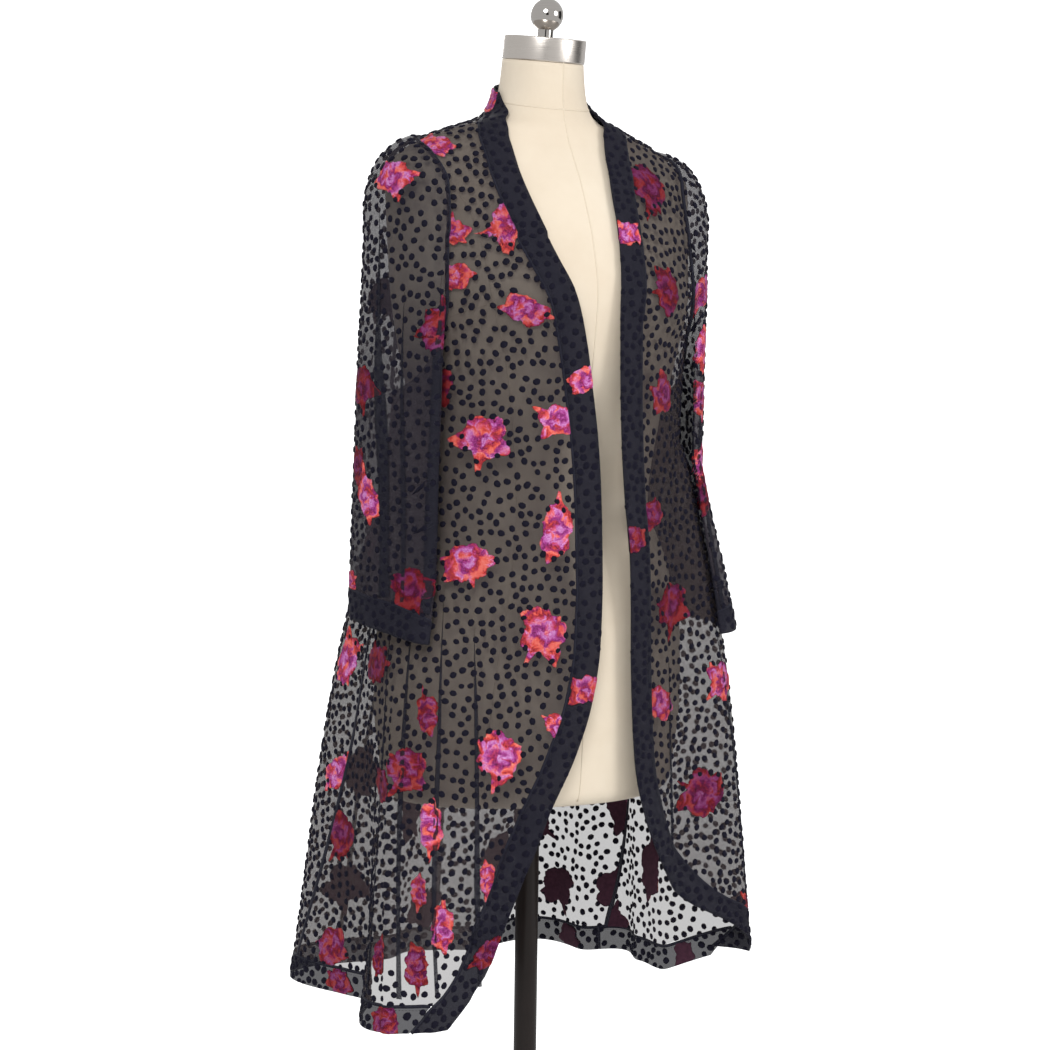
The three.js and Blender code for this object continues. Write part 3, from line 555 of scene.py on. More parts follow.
def kimono_sleeve(name):
    """The sleeve's surface with its creases, moved sideways from the sleeve's own middle."""
    def surface(around, along):
        point = sleeve_point(name, around, along)
        around = np.asarray(around, float) % 1
        out = 0.0
        for middle, down, wide, long, depth, lean in SLEEVE_CREASES:
            shifted = (around - middle - lean * (along - down) + 0.5) % 1 - 0.5
            out = out + depth * hump(shifted, wide) * hump(along - down, long)
        angle = SIGN[name] * (SLEEVE["angle"] - SLEEVE["half_spread"] * np.sin(2 * np.pi * around))
        opened = 0.5 - 0.5 * np.cos(2 * np.pi * around)
        outward = np.stack(np.broadcast_arrays(sin(angle), -cos(angle), 0.0), -1)
        return point + outward * (out * opened)[..., None]

    return surface


BODY_STEPS = (0.4, 0.6)
SLEEVE_STEPS = (0.003, 0.003)


# Meshes
def mesh_piece(name, points, faces, materials, smooth=True):
    """A mesh object at the origin from millimetre points (N, 3) and lists of face corners."""
    mesh = bpy.data.meshes.new(name)
    mesh.from_pydata((np.asarray(points) * 0.001).tolist(), [], faces)
    mesh.validate()
    for material in materials:
        mesh.materials.append(material)
    mesh.polygons.foreach_set("use_smooth", np.full(len(mesh.polygons), smooth))
    mesh.update()
    piece = bpy.data.objects.new(name, mesh)
    bpy.context.scene.collection.objects.link(piece)
    return piece


def grid_faces(rows, columns, start=0, tube=False, flip=False):
    """Four-cornered faces (N, 4) between the points of a grid, joined round where it is a tube."""
    spans = columns if tube else columns - 1
    i, j = np.meshgrid(np.arange(rows - 1), np.arange(spans), indexing="ij")
    ahead = (j + 1) % columns
    corners = [i * columns + j, (i + 1) * columns + j, (i + 1) * columns + ahead, i * columns + ahead]
    faces = np.stack(corners, -1).reshape(-1, 4) + start
    return faces[:, ::-1] if flip else faces


def shell_faces(rows, columns, tube):
    """Faces of a closed shell: the outer grid, the inner grid behind it, and the rims."""
    outside = rows * columns
    outer = grid_faces(rows, columns, 0, tube)
    inner = grid_faces(rows, columns, outside, tube, flip=True)
    columns_range = np.arange(columns if tube else columns - 1)
    ahead = (columns_range + 1) % columns
    last = (rows - 1) * columns
    top = np.stack([columns_range, ahead, ahead + outside, columns_range + outside], 1)
    foot = np.stack([last + ahead, last + columns_range, last + columns_range + outside,
                     last + ahead + outside], 1)
    parts = [outer, inner, top, foot]
    if not tube:
        row = np.arange(rows - 1)
        a, b = row * columns, (row + 1) * columns
        parts.append(np.stack([b, a, a + outside, b + outside], 1))
        a, b = a + columns - 1, b + columns - 1
        parts.append(np.stack([a, b, b + outside, a + outside], 1))
    return np.concatenate(parts)


def is_inside_out(points, faces):
    """Whether a closed mesh's faces point inwards: its volume from its corners is below nought."""
    a, b, c, d = (points[faces[:, k]] for k in range(4))
    return (np.einsum("ij,ij->", a, np.cross(b, c)) + np.einsum("ij,ij->", a, np.cross(c, d))) < 0


def cloth_shell(name, surface, grid, lifts, materials, steps=BODY_STEPS, tube=False, out=1.0):
    """A closed shell between two distances off a surface, over a grid of places. Its UV map
    holds the cloth's own millimetres: along each row, and down each column."""
    a, b = grid[..., 0], grid[..., 1]
    middle = surface(a, b)
    normal = outward_normal(surface, a, b, steps, out)
    rows, columns = a.shape
    points = np.concatenate([(middle + normal * lift).reshape(-1, 3) for lift in reversed(lifts)])
    faces = shell_faces(rows, columns, tube)
    if is_inside_out(points, faces):
        faces = faces[:, ::-1]
    piece = mesh_piece(name, points, faces.tolist(), materials)
    across = np.cumsum(np.linalg.norm(np.diff(middle, axis=1, prepend=middle[:, :1]), axis=2), 1)
    down = np.cumsum(np.linalg.norm(np.diff(middle, axis=0, prepend=middle[:1]), axis=2), 0)
    places = np.stack([across, down], -1).reshape(-1, 2)
    put_uv(piece, "cloth", np.concatenate([places, places]) * 0.001)
    cell = np.linalg.norm(np.cross(middle[1:, :-1] - middle[:-1, :-1],
                                   middle[:-1, 1:] - middle[:-1, :-1]), axis=2)
    return piece, float(cell.sum()) * 1e-6


def outward_normal(surface, a, b, steps, out=1.0):
    """The surface's normal, away from what the cloth hangs on."""
    return normal_of(surface, a, b, steps) * out


def put_uv(piece, name, places):
    """A UV map from one place (u, v) for each vertex."""
    mesh = piece.data
    corner = np.zeros(len(mesh.loops), np.int32)
    mesh.loops.foreach_get("vertex_index", corner)
    layer = mesh.uv_layers.new(name=name)
    layer.data.foreach_set("uv", np.asarray(places, np.float32)[corner].ravel())


def turned(name, profile, materials, sides=96, place=None, smooth_angle=40):
    """A solid of revolution: a profile of (radius, height) from axis to axis, carried round."""
    radius, height = np.array(profile[1:-1], float).T
    angle = np.arange(sides) / sides * 360
    ring = np.stack([radius[:, None] * cos(angle), radius[:, None] * sin(angle),
                     np.broadcast_to(height[:, None], (len(height), sides))], -1)
    points = np.concatenate([ring.reshape(-1, 3), [[0, 0, profile[0][1]], [0, 0, profile[-1][1]]]])
    rows = len(height)
    faces = grid_faces(rows, sides, tube=True)[:, ::-1].tolist()
    j = np.arange(sides)
    low, high = rows * sides, rows * sides + 1
    faces += np.stack([np.full(sides, low), (j + 1) % sides, j], 1).tolist()
    last = (rows - 1) * sides
    faces += np.stack([np.full(sides, high), last + j, last + (j + 1) % sides], 1).tolist()
    if place is not None:
        points = points @ place[0].T + place[1]
    piece = mesh_piece(name, points, faces, materials)
    piece.data.set_sharp_from_angle(angle=math.radians(smooth_angle))
    return piece


def rounded(corners, radius, steps=4):
    """A profile whose inner corners are rounded: each corner becomes a short quadratic curve."""
    corners = np.array(corners, float)
    out = [corners[0]]
    for before, here, after in zip(corners, corners[1:], corners[2:]):
        back, ahead = before - here, after - here
        cut = min(radius, np.linalg.norm(back) / 2.01, np.linalg.norm(ahead) / 2.01)
        start = here + back / np.linalg.norm(back) * cut
        end = here + ahead / np.linalg.norm(ahead) * cut
        for t in np.linspace(0, 1, steps + 1):
            out.append((1 - t) ** 2 * start + 2 * t * (1 - t) * here + t * t * end)
    out.append(corners[-1])
    return [tuple(p) for p in out]


# Materials
def new_material(name):
    """A material, its node tree and its main shader."""
    material = bpy.data.materials.new(name)
    material.use_nodes = True
    tree = material.node_tree
    shader = next(n for n in tree.nodes if n.type == "BSDF_PRINCIPLED")
    return material, tree, shader


def node(tree, kind, values=None, **settings):
    """A node with its inputs set or linked: values maps a socket's name or number to either."""
    made = tree.nodes.new(kind)
    for key, value in settings.items():
        setattr(made, key, value)
    for key, value in (values or {}).items():
        socket = made.inputs[key]
        if isinstance(value, bpy.types.NodeSocket):
            tree.links.new(value, socket)
        else:
            socket.default_value = value
    return made


def math_node(tree, operation, *values):
    """The outcome of one operation on sockets and numbers."""
    made = node(tree, "ShaderNodeMath", operation=operation)
    for socket, value in zip(made.inputs, values):
        if isinstance(value, bpy.types.NodeSocket):
            tree.links.new(value, socket)
        else:
            socket.default_value = value
    return made.outputs[0]


def blend_colours(tree, factor, first, second, kind="MIX"):
    """Two colours blended by a factor; each can be a socket or a value."""
    made = tree.nodes.new("ShaderNodeMix")
    made.data_type, made.blend_type = "RGBA", kind
    for index, value in ((0, factor), (6, first), (7, second)):
        socket = made.inputs[index]
        if isinstance(value, bpy.types.NodeSocket):
            tree.links.new(value, socket)
        else:
            socket.default_value = (*value, 1) if hasattr(value, "__len__") else value
    return made.outputs[2]


def colour_steps(tree, factor, steps):
    """A colour ramp from a list of (position, colour)."""
    ramp = node(tree, "ShaderNodeValToRGB", {0: factor})
    stops = ramp.color_ramp.elements
    while len(stops) < len(steps):
        stops.new(0.5)
    for stop, (position, colour) in zip(stops, steps):
        stop.position, stop.color = position, (*colour, 1)
    return ramp.outputs[0]


def shader_group(name, inputs, outputs):
    """A node group with named inputs (name, kind, value) and outputs (name, kind)."""
    group = bpy.data.node_groups.new(name, "ShaderNodeTree")
    for socket, kind, value in inputs:
        made = group.interface.new_socket(socket, in_out="INPUT", socket_type="NodeSocket" + kind)
        made.default_value = value
    for socket, kind in outputs:
        group.interface.new_socket(socket, in_out="OUTPUT", socket_type="NodeSocket" + kind)
    return group, group.nodes.new("NodeGroupInput").outputs, group.nodes.new("NodeGroupOutput")


def set_values(shader, **values):
    """A shader's plain values; an underscore in a name stands for a space."""
    for name, value in values.items():
        shader.inputs[name.replace("_", " ")].default_value = value


def bump(tree, shader, height, strength, distance):
    """Small relief from a height, put into a shader's normal."""
    made = node(tree, "ShaderNodeBump", {"Height": height, "Strength": strength, "Distance": distance})
    tree.links.new(made.outputs[0], shader.inputs["Normal"])


def noise(tree, place, scale, detail, **others):
    """Noise over a place, as one number."""
    return node(tree, "ShaderNodeTexNoise", {"Vector": place, "Scale": scale, "Detail": detail,
                                             **others}).outputs[0]


def object_place(tree):
    """The place of a point in metres."""
    return node(tree, "ShaderNodeTexCoord").outputs["Object"]


def use_group(tree, group, values):
    """A shared node group put into a tree, with its inputs set or linked."""
    made = node(tree, "ShaderNodeGroup", node_tree=group)
    for key, value in values.items():
        if isinstance(value, bpy.types.NodeSocket):
            tree.links.new(value, made.inputs[key])
        else:
            made.inputs[key].default_value = value
    return made.outputs


def weave_group():
    """Crossed threads over a place in metres: the mean of two sine waves, one for each way, with
    a slow unevenness in their phase."""
    group, given, out = shader_group(
        "woven_threads",
        [("Place", "Vector", (0, 0, 0)), ("Threads per metre", "Float", 1000.0),
         ("Unevenness", "Float", 0.3)],
        [("Height", "Float"), ("Slub", "Float")],
    )
    split = node(group, "ShaderNodeSeparateXYZ", {0: given["Place"]}).outputs
    slub = node(group, "ShaderNodeTexNoise", {"Vector": given["Place"], "Scale": 45.0, "Detail": 4.0})
    waves = []
    for axis in (0, 1):
        turned_by = math_node(group, "MULTIPLY", split[axis], given["Threads per metre"])
        wobble = math_node(group, "MULTIPLY", slub.outputs[0], given["Unevenness"])
        phase = math_node(group, "MULTIPLY", math_node(group, "ADD", turned_by, wobble), math.tau)
        waves.append(math_node(group, "ADD", math_node(group, "MULTIPLY", math_node(
            group, "SINE", phase), 0.5), 0.5))
    height = math_node(group, "ADD", math_node(group, "MULTIPLY", waves[0], 0.5),
                       math_node(group, "MULTIPLY", waves[1], 0.5))
    group.links.new(height, out.inputs["Height"])
    group.links.new(slub.outputs[0], out.inputs["Slub"])
    return group


WEAVE = weave_group()


def uv_place(tree, name):
    """The place of a point in a piece's own UV map."""
    return node(tree, "ShaderNodeUVMap", uv_map=name).outputs[0]


def cloth_material(name, dark, light, alpha, sheen, gathered=0.0):
    """Sheer woven cloth on its own UV map: threads in the bump and the opacity, slow unevenness
    in the colour. Gathered cloth is less sheer from the bend of the arm down, where it hangs in
    close folds."""
    material, tree, shader = new_material(name)
    weave = use_group(tree, WEAVE, {"Place": uv_place(tree, "cloth"), "Threads per metre": 900.0,
                                    "Unevenness": 1.5})
    colour = blend_colours(tree, weave["Slub"], dark, light)
    tree.links.new(colour, shader.inputs["Base Color"])
    spread = math_node(tree, "MULTIPLY", math_node(tree, "SUBTRACT", weave["Height"], 0.5), 0.12)
    opacity = math_node(tree, "ADD", spread, alpha)
    if gathered:
        height = node(tree, "ShaderNodeSeparateXYZ", {0: object_place(tree)}).outputs[2]
        lower = math_node(tree, "MULTIPLY", height, -1 / GATHER_LENGTH)
        lower = math_node(tree, "ADD", lower, GATHER_TOP / GATHER_LENGTH)
        lower = math_node(tree, "MINIMUM", math_node(tree, "MAXIMUM", lower, 0.0), 1.0)
        opacity = math_node(tree, "ADD", opacity, math_node(tree, "MULTIPLY", lower, gathered))
    tree.links.new(opacity, shader.inputs["Alpha"])
    bump(tree, shader, weave["Height"], 0.3, 0.0002)
    set_values(shader, Roughness=0.75, Specular_IOR_Level=0.1, Sheen_Weight=sheen, Sheen_Roughness=0.4)
    return material


# metres above the floor where the sleeves' close folds start, and over what length they do
GATHER_TOP, GATHER_LENGTH = 1.28, 0.12
chiffon = cloth_material("sheer_chiffon", (0.042, 0.034, 0.042), (0.07, 0.055, 0.052), 0.405, 0.0)
sleeve_chiffon = cloth_material("sleeve_chiffon", (0.03, 0.026, 0.037), (0.05, 0.043, 0.05), 0.42, 0.0,
                                gathered=0.16)
double_chiffon = cloth_material("double_chiffon", (0.012, 0.012, 0.019), (0.021, 0.02, 0.03), 0.72, 0.0)
edge_chiffon = cloth_material("edge_chiffon", (0.011, 0.011, 0.018), (0.02, 0.019, 0.029), 0.9, 0.02)


def linen_material():
    """Cream linen over padding: coarse threads on the form's own UV map, in soft mottled creams."""
    material, tree, shader = new_material("cream_linen")
    place = object_place(tree)
    weave = use_group(tree, WEAVE, {"Place": uv_place(tree, "cloth"), "Threads per metre": 1100.0,
                                    "Unevenness": 2.5})
    mottle = noise(tree, place, 9.0, 5.0, Roughness=0.6)
    base = colour_steps(tree, mottle, [(0.3, (0.70, 0.60, 0.47)), (0.7, (0.78, 0.69, 0.56))])
    threads = math_node(tree, "MULTIPLY", weave["Height"], 0.12)
    colour = blend_colours(tree, threads, base, (0.62, 0.5, 0.37))
    tree.links.new(colour, shader.inputs["Base Color"])
    bump(tree, shader, weave["Height"], 0.35, 0.0003)
    set_values(shader, Roughness=0.85, Specular_IOR_Level=0.2, Sheen_Weight=0.15, Sheen_Roughness=0.5)
    return material


linen = linen_material()


def metal_material(name, colour, roughness, streaks):
    """Steel, brushed round its own upright line where streaks is over nought: noise stretched
    along the turning direction varies the roughness and the bump."""
    material, tree, shader = new_material(name)
    place = object_place(tree)
    lengths = node(tree, "ShaderNodeMapping", {"Vector": place, "Scale": (14, 14, 2600)}).outputs[0]
    lines = noise(tree, lengths, 1.0, 3.0)
    rough = math_node(tree, "ADD", math_node(tree, "MULTIPLY", lines, streaks), roughness)
    tree.links.new(rough, shader.inputs["Roughness"])
    tree.links.new(blend_colours(tree, lines, colour, tuple(0.82 * c for c in colour)),
                   shader.inputs["Base Color"])
    bump(tree, shader, lines, 0.6 * min(streaks * 4, 1), 0.0001)
    set_values(shader, Metallic=1.0)
    return material


brushed_steel = metal_material("brushed_steel", (0.72, 0.67, 0.62), 0.2, 0.2)
polished_steel = metal_material("polished_steel", (0.6, 0.57, 0.54), 0.04, 0.03)


def enamel_material():
    """Dark satin enamel with faint cloudiness in its gloss."""
    material, tree, shader = new_material("dark_enamel")
    place = object_place(tree)
    cloud = noise(tree, place, 30.0, 4.0)
    tree.links.new(blend_colours(tree, cloud, (0.008, 0.005, 0.004), (0.013, 0.008, 0.007)),
                   shader.inputs["Base Color"])
    tree.links.new(math_node(tree, "ADD", math_node(tree, "MULTIPLY", cloud, 0.12), 0.26),
                   shader.inputs["Roughness"])
    set_values(shader, Specular_IOR_Level=0.25, Coat_Weight=0.08, Coat_Roughness=0.25)
    return material


dark_enamel = enamel_material()


def dot_material():
    """Deep navy-black pile, with a little sheen."""
    material, tree, shader = new_material("dot_velvet")
    place = object_place(tree)
    pile = noise(tree, place, 700.0, 2.0)
    tree.links.new(blend_colours(tree, pile, (0.003, 0.003, 0.006), (0.013, 0.012, 0.025)),
                   shader.inputs["Base Color"])
    bump(tree, shader, pile, 0.5, 0.0004)
    set_values(shader, Roughness=0.9, Specular_IOR_Level=0.1, Sheen_Weight=0.03, Sheen_Roughness=0.35,
               Sheen_Tint=(0.5, 0.5, 0.8, 1))
    return material


def rose_material():
    """Burn-out velvet roses on their own UV map: pale and dark strokes from fine noise and a spiral of the
    distance and the direction from the middle, the pale ones partly the print's colour and partly painted
    highlights of the pile, the dark ones partly the print's lines and partly painted shade between the
    petals;
    orchid to crimson to coral outwards and with slow noise;
    each rose is painted darker, as painted shade, as its own painted light level is lower."""
    material, tree, shader = new_material("rose_velvet")
    place = uv_place(tree, "rose")
    # painted shade: each rose's painted light level, one for its full colours and lower to paint it darker
    # as if it lay in shade
    painted_light_level = node(tree, "ShaderNodeAttribute", attribute_name="painted_light_level").outputs["Fac"]
    seedling = node(tree, "ShaderNodeAttribute", attribute_name="seedling").outputs["Fac"]
    split = node(tree, "ShaderNodeSeparateXYZ", {0: place}).outputs
    own = node(tree, "ShaderNodeCombineXYZ", {0: split[0], 1: split[1], 2: seedling}).outputs[0]
    bend = noise(tree, own, 2.1, 3.0, Distortion=0.8)
    strokes = noise(tree, own, 8.0, 5.0, Roughness=0.85, Distortion=3.5)
    far = math_node(tree, "SQRT", math_node(tree, "ADD", math_node(tree, "POWER", split[0], 2.0),
                                            math_node(tree, "POWER", split[1], 2.0)))
    way = math_node(tree, "ARCTAN2", split[1], split[0])
    spiral = math_node(tree, "ADD", math_node(tree, "MULTIPLY", far, 8.0), way)
    spiral = math_node(tree, "ADD", spiral, math_node(tree, "MULTIPLY", bend, 12.0))
    # outwards and with the slow noise, orchid turns to coral
    hue = math_node(tree, "ADD", math_node(tree, "MULTIPLY", far, 0.38),
                    math_node(tree, "MULTIPLY", math_node(tree, "SUBTRACT", bend, 0.46), 3.0))
    petal = colour_steps(tree, hue, [
        (0.15, (0.45, 0.06, 0.32)), (0.4, (0.6, 0.05, 0.15)), (0.68, (0.74, 0.07, 0.05)),
    ])
    pale = colour_steps(tree, hue, [(0.2, (0.72, 0.42, 0.75)), (0.6, (0.85, 0.3, 0.24))])
    light = math_node(tree, "ADD", strokes, math_node(tree, "MULTIPLY", math_node(
        tree, "SINE", spiral), 0.07))
    # partly painted light: the pale strokes are partly the print's pale colours and partly painted
    # highlights of the pile's sheen; the dark strokes are partly the print's dark lines and partly painted
    # shade between the petals
    print_and_highlight_strokes = colour_steps(tree, light, [(0.55, (0, 0, 0)), (0.62, (1, 1, 1))])
    dark = colour_steps(tree, light, [(0.4, (1, 1, 1)), (0.49, (0, 0, 0))])
    colour = blend_colours(tree, print_and_highlight_strokes, petal, pale)
    colour = blend_colours(tree, dark, colour, (0.09, 0.004, 0.03))
    # painted shade: the rose's colours multiplied down to a deep crimson, which a rose shows the more the
    # lower its painted light level
    deep = blend_colours(tree, 1.0, colour, (0.2, 0.05, 0.12), "MULTIPLY")
    colour = blend_colours(tree, math_node(tree, "POWER", painted_light_level, 3.0), deep, colour)
    tree.links.new(colour, shader.inputs["Base Color"])
    bump(tree, shader, strokes, 0.6, 0.0008)
    set_values(shader, Roughness=0.7, Specular_IOR_Level=0.12, Sheen_Weight=0.03, Sheen_Roughness=0.35,
               Sheen_Tint=(1.0, 0.6, 0.8, 1))
    return material


def rose_back_material():
    """The flat back of a rose, plum with the weave's mottle."""
    material, tree, shader = new_material("rose_back")
    place = object_place(tree)
    mottle = noise(tree, place, 260.0, 4.0)
    tree.links.new(blend_colours(tree, mottle, (0.022, 0.008, 0.016), (0.075, 0.026, 0.045)),
                   shader.inputs["Base Color"])
    set_values(shader, Roughness=0.85, Specular_IOR_Level=0.15)
    return material


dot_velvet = dot_material()
rose_velvet = rose_material()
rose_back = rose_back_material()
seam_cloth = cloth_material("seam_chiffon", (0.012, 0.012, 0.02), (0.02, 0.02, 0.032), 0.93, 0.1)


def linen_seam_material():
    """The shadowed groove and thread of a seam in the linen."""
    material, tree, shader = new_material("linen_seam")
    place = object_place(tree)
    thread = noise(tree, place, 500.0, 2.0)
    tree.links.new(blend_colours(tree, thread, (0.64, 0.55, 0.43), (0.72, 0.63, 0.5)),
                   shader.inputs["Base Color"])
    set_values(shader, Roughness=0.9)
    return material


linen_seam = linen_seam_material()


def finish_piece(piece, slot, *nodes):
    """A piece rides on the part's one body and stands for its solids, which it hides; its slot is not
    used.
    """
    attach(piece, "root")
    if nodes:
        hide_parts(*nodes)
    return piece


# The form and its stand, in millimetres
NECK_FOOT = 1494.0  # where the neck starts to lean
NECK_LEAN = 8.0  # degrees backwards
CAP = {"radius": 44.0, "low": 0.3, "high": 25.3, "edge": 1.6}
BALL = {"radius": 17.5, "seat": 25.6, "stem": 8.0, "stem_radius": 8.5}
POLE = {"radius": 12.3, "low": 40.3, "high": 754.7, "edge": 0.6}
BASE_PROFILE = [(0, 0), (205, 0), (205, 9.5), (201, 11), (40, 14), (32, 20), (26, 40), (0, 40)]
BASE_EDGE = 3.0
LINEN_RADIUS = 150.0  # the linen's own radius, for its threads


def form_grid(sides=128, rows=150):
    """The form's surface as rings, closer together at the shoulders, with the neck's top
    leaning back: each point of the neck sinks by its distance in front of the middle."""
    height = np.concatenate([[FORM_BOTTOM], np.linspace(762, 1380, rows - 60),
                             np.linspace(1384, 1490, 50), np.linspace(1495, NECK_TOP, 9)])
    turn = np.linspace(-180, 180, sides, endpoint=False)
    turns, heights = np.meshgrid(turn, height)
    points = form_point(turns, heights)
    top = points[-1]
    ahead = -top[:, 1] - form_forward(NECK_TOP)
    lean = unit((heights - NECK_FOOT) / (NECK_TOP - NECK_FOOT))[..., None]
    tilt = np.zeros_like(points)
    tilt[..., 2] = -(ahead * math.tan(math.radians(NECK_LEAN)))[None, :]
    return turns, heights, points + tilt * lean


def make_form():
    """The padded torso: the form's rings from bottom to neck, closed at both ends, with a soft
    rounded lower edge. Its UV map runs round and up in metres."""
    turns, heights, points = form_grid()
    rows, sides = turns.shape
    flat = points.reshape(-1, 3)
    inner = points[0] * [0.93, 0.93, 1] - [0, 0, 3]
    ends = np.array([points[0].mean(0) - [0, 0, 3], points[-1].mean(0)])
    vertices = np.concatenate([flat, inner, ends])
    faces = grid_faces(rows, sides, tube=True)[:, ::-1].tolist()
    j = np.arange(sides)
    ahead = (j + 1) % sides
    base = rows * sides
    faces += np.stack([base + j, base + ahead, ahead, j], 1).tolist()
    low, high = base + sides, base + sides + 1
    faces += np.stack([np.full(sides, low), base + ahead, base + j], 1).tolist()
    last = (rows - 1) * sides
    faces += np.stack([np.full(sides, high), last + j, last + ahead], 1).tolist()
    piece = mesh_piece("form_body", vertices, faces, [linen])
    across = np.radians(turns) * LINEN_RADIUS
    uv = np.stack([across, heights], -1).reshape(-1, 2)
    rest = np.stack([np.radians(np.concatenate([turns[0], [0, 0]])) * 140,
                     np.full(sides + 2, FORM_BOTTOM)], -1)
    put_uv(piece, "cloth", np.concatenate([uv, rest]) * 0.001)
    return finish_piece(piece, "linen", "form_torso")


form_body = make_form()


def cylinder_profile(size):
    """The profile of an upright cylinder with eased edges."""
    low, high, radius = size["low"], size["high"], size["radius"]
    return rounded([(0, low), (radius, low), (radius, high), (0, high)], size["edge"])


def ball_profile():
    """The finial's profile: a short stem, and a ball from where the stem meets it to its top."""
    radius, stem = BALL["radius"], BALL["stem_radius"]
    middle = BALL["seat"] + BALL["stem"] + math.sqrt(radius**2 - stem**2)
    arc = np.radians(np.linspace(180 - math.degrees(math.asin(stem / radius)), 0, 40))
    foot = [(0, BALL["seat"]), (stem, BALL["seat"])]
    side = [(radius * math.sin(a), middle + radius * math.cos(a)) for a in arc[:-1]]
    return foot + side + [(0, middle + radius)]


NECK_TURN = np.array([[1, 0, 0], [0, cos(NECK_LEAN), -sin(NECK_LEAN)],
                      [0, sin(NECK_LEAN), cos(NECK_LEAN)]])
NECK_PLACE = (NECK_TURN, np.array([0, -form_forward(NECK_TOP), NECK_TOP]))
cap = turned("form_cap", cylinder_profile(CAP), [brushed_steel], sides=160, place=NECK_PLACE)
finish_piece(cap, "brushed_cap", "form_neck_cap")
finial = turned("form_ball", ball_profile(), [polished_steel], sides=96, place=NECK_PLACE)
finish_piece(finial, "polished_ball", "form_finial")
pole = turned("form_stand_pole", cylinder_profile(POLE), [dark_enamel], sides=64)
finish_piece(pole, "stand_enamel", "form_pole")
base = turned("form_stand_base", rounded(BASE_PROFILE, BASE_EDGE), [dark_enamel], sides=160)
finish_piece(base, "stand_enamel", "form_base")

# The kimono's cloth, panel by panel
PANEL_LIFTS = (0.15, 0.75)
BAND_LIFTS = (0.0, 1.5)
panels = {}


def add_cloth(name, surface, grid, lifts, material, steps=BODY_STEPS, tube=False, band=False,
              out=1.0):
    """One cloth as a shell on its surface, and what later pieces need to know of it."""
    piece, area = cloth_shell(name + "_cloth", surface, grid, lifts, [material], steps, tube, out)
    finish_piece(piece, "velvet_band" if band else "chiffon", name)
    panels[name] = {"piece": piece, "surface": surface, "grid": grid, "lifts": lifts, "area": area,
                    "steps": steps, "tube": tube, "band": band, "out": out}


sleeve_surfaces = {name: kimono_sleeve(name) for name in SIGN}
sleeve_foot = 1 - CUFF_BAND / SLEEVE_LENGTH
sleeve_gap = SEAM_GAP / (SLEEVE_LENGTH * 0.5)


def tube_grid(start, end, rows, columns):
    """Places of a sleeve or a cuff: once round, and along from start to end."""
    around = np.arange(columns) / columns
    return np.stack(np.meshgrid(around, np.linspace(start, end, rows)), -1)


# Each cloth, with its area in square metres as it hangs
add_cloth("back_panel", kimono_body, back_grid(150, 120), PANEL_LIFTS, chiffon)
for name in SIGN:
    add_cloth("front_" + name, kimono_body, front_grid(name, 120, 200 if name == "right" else 90),
              PANEL_LIFTS, chiffon)
    add_cloth("sleeve_" + name, sleeve_surfaces[name], tube_grid(0, sleeve_foot - sleeve_gap, 90, 96),
              PANEL_LIFTS, sleeve_chiffon, SLEEVE_STEPS, True, out=-SIGN[name])
    add_cloth("cuff_band_" + name, sleeve_surfaces[name], tube_grid(sleeve_foot, 1, 7, 96), BAND_LIFTS,
              edge_chiffon, SLEEVE_STEPS, True, True, -SIGN[name])
    add_cloth("front_band_" + name, kimono_body, front_band_grid(name, 190, 8), BAND_LIFTS,
              edge_chiffon, band=True)
add_cloth("neck_band", kimono_body, neck_band_grid(9, 60), BAND_LIFTS, edge_chiffon, band=True)
for name, (start, end) in hem_starts().items():
    add_cloth("hem_band_" + name, kimono_body, hem_grid(start, end, 7, 110 if name == "back" else 64),
              BAND_LIFTS, double_chiffon, band=True)

# The velvet: raised dots and roses that lie on the cloth and are cut off at its seams
def cloth_normal(panel, a, b):
    """The outward normal of a cloth at its places."""
    return outward_normal(panel["surface"], a, b, panel["steps"], panel["out"])


def on_cloth(panel, places):
    """Whether places (..., 2) lie on a panel: a level line from each crosses its outline an odd
    number of times. A tube has limits along it only."""
    grid = panel["grid"]
    a, b = places[..., 0], places[..., 1]
    if panel["tube"]:
        return (b > grid[0, 0, 1]) & (b < grid[-1, 0, 1])
    line = np.concatenate([grid[0], grid[1:, -1], grid[-1, -2::-1], grid[-2:0:-1, 0]])
    inside = np.zeros(a.shape, bool)
    for (a0, b0), (a1, b1) in zip(line, np.roll(line, -1, 0)):
        if b0 != b1:
            spans = (b0 > b) != (b1 > b)
            inside ^= spans & (a < a0 + (b - b0) / (b1 - b0) * (a1 - a0))
    return inside


def per_millimetre(panel, places, heading):
    """The change of place for one millimetre on the cloth in a direction, 0 across and 90 down:
    the tangent plane's metric solved for the direction."""
    surface, (da, db) = panel["surface"], panel["steps"]
    a, b = places[..., 0], places[..., 1]
    per_a = (surface(a + da, b) - surface(a - da, b)) / (2 * da)
    per_b = (surface(a, b + db) - surface(a, b - db)) / (2 * db)
    down = unit_length(per_b) * (1 if panel["tube"] else -1)
    across = unit_length(per_a - np.sum(per_a * down, -1, keepdims=True) * down)
    way = cos(heading)[..., None] * across + sin(heading)[..., None] * down
    aa, ab, bb = (np.sum(x * y, -1) for x, y in ((per_a, per_a), (per_a, per_b), (per_b, per_b)))
    to_a, to_b = np.sum(per_a * way, -1), np.sum(per_b * way, -1)
    det = aa * bb - ab * ab
    return np.stack([(bb * to_a - ab * to_b) / det, (aa * to_b - ab * to_a) / det], -1)


def walk(panel, centres, heading, length, steps):
    """Paths over the cloth (N, S, steps + 1, 2) from N centres in S directions each."""
    places = [np.broadcast_to(centres[:, None], heading.shape + (2,))]
    for _ in range(steps):
        move = per_millimetre(panel, places[-1], heading)
        places.append(places[-1] + move * (length / steps)[..., None])
    return np.stack(places, 2)


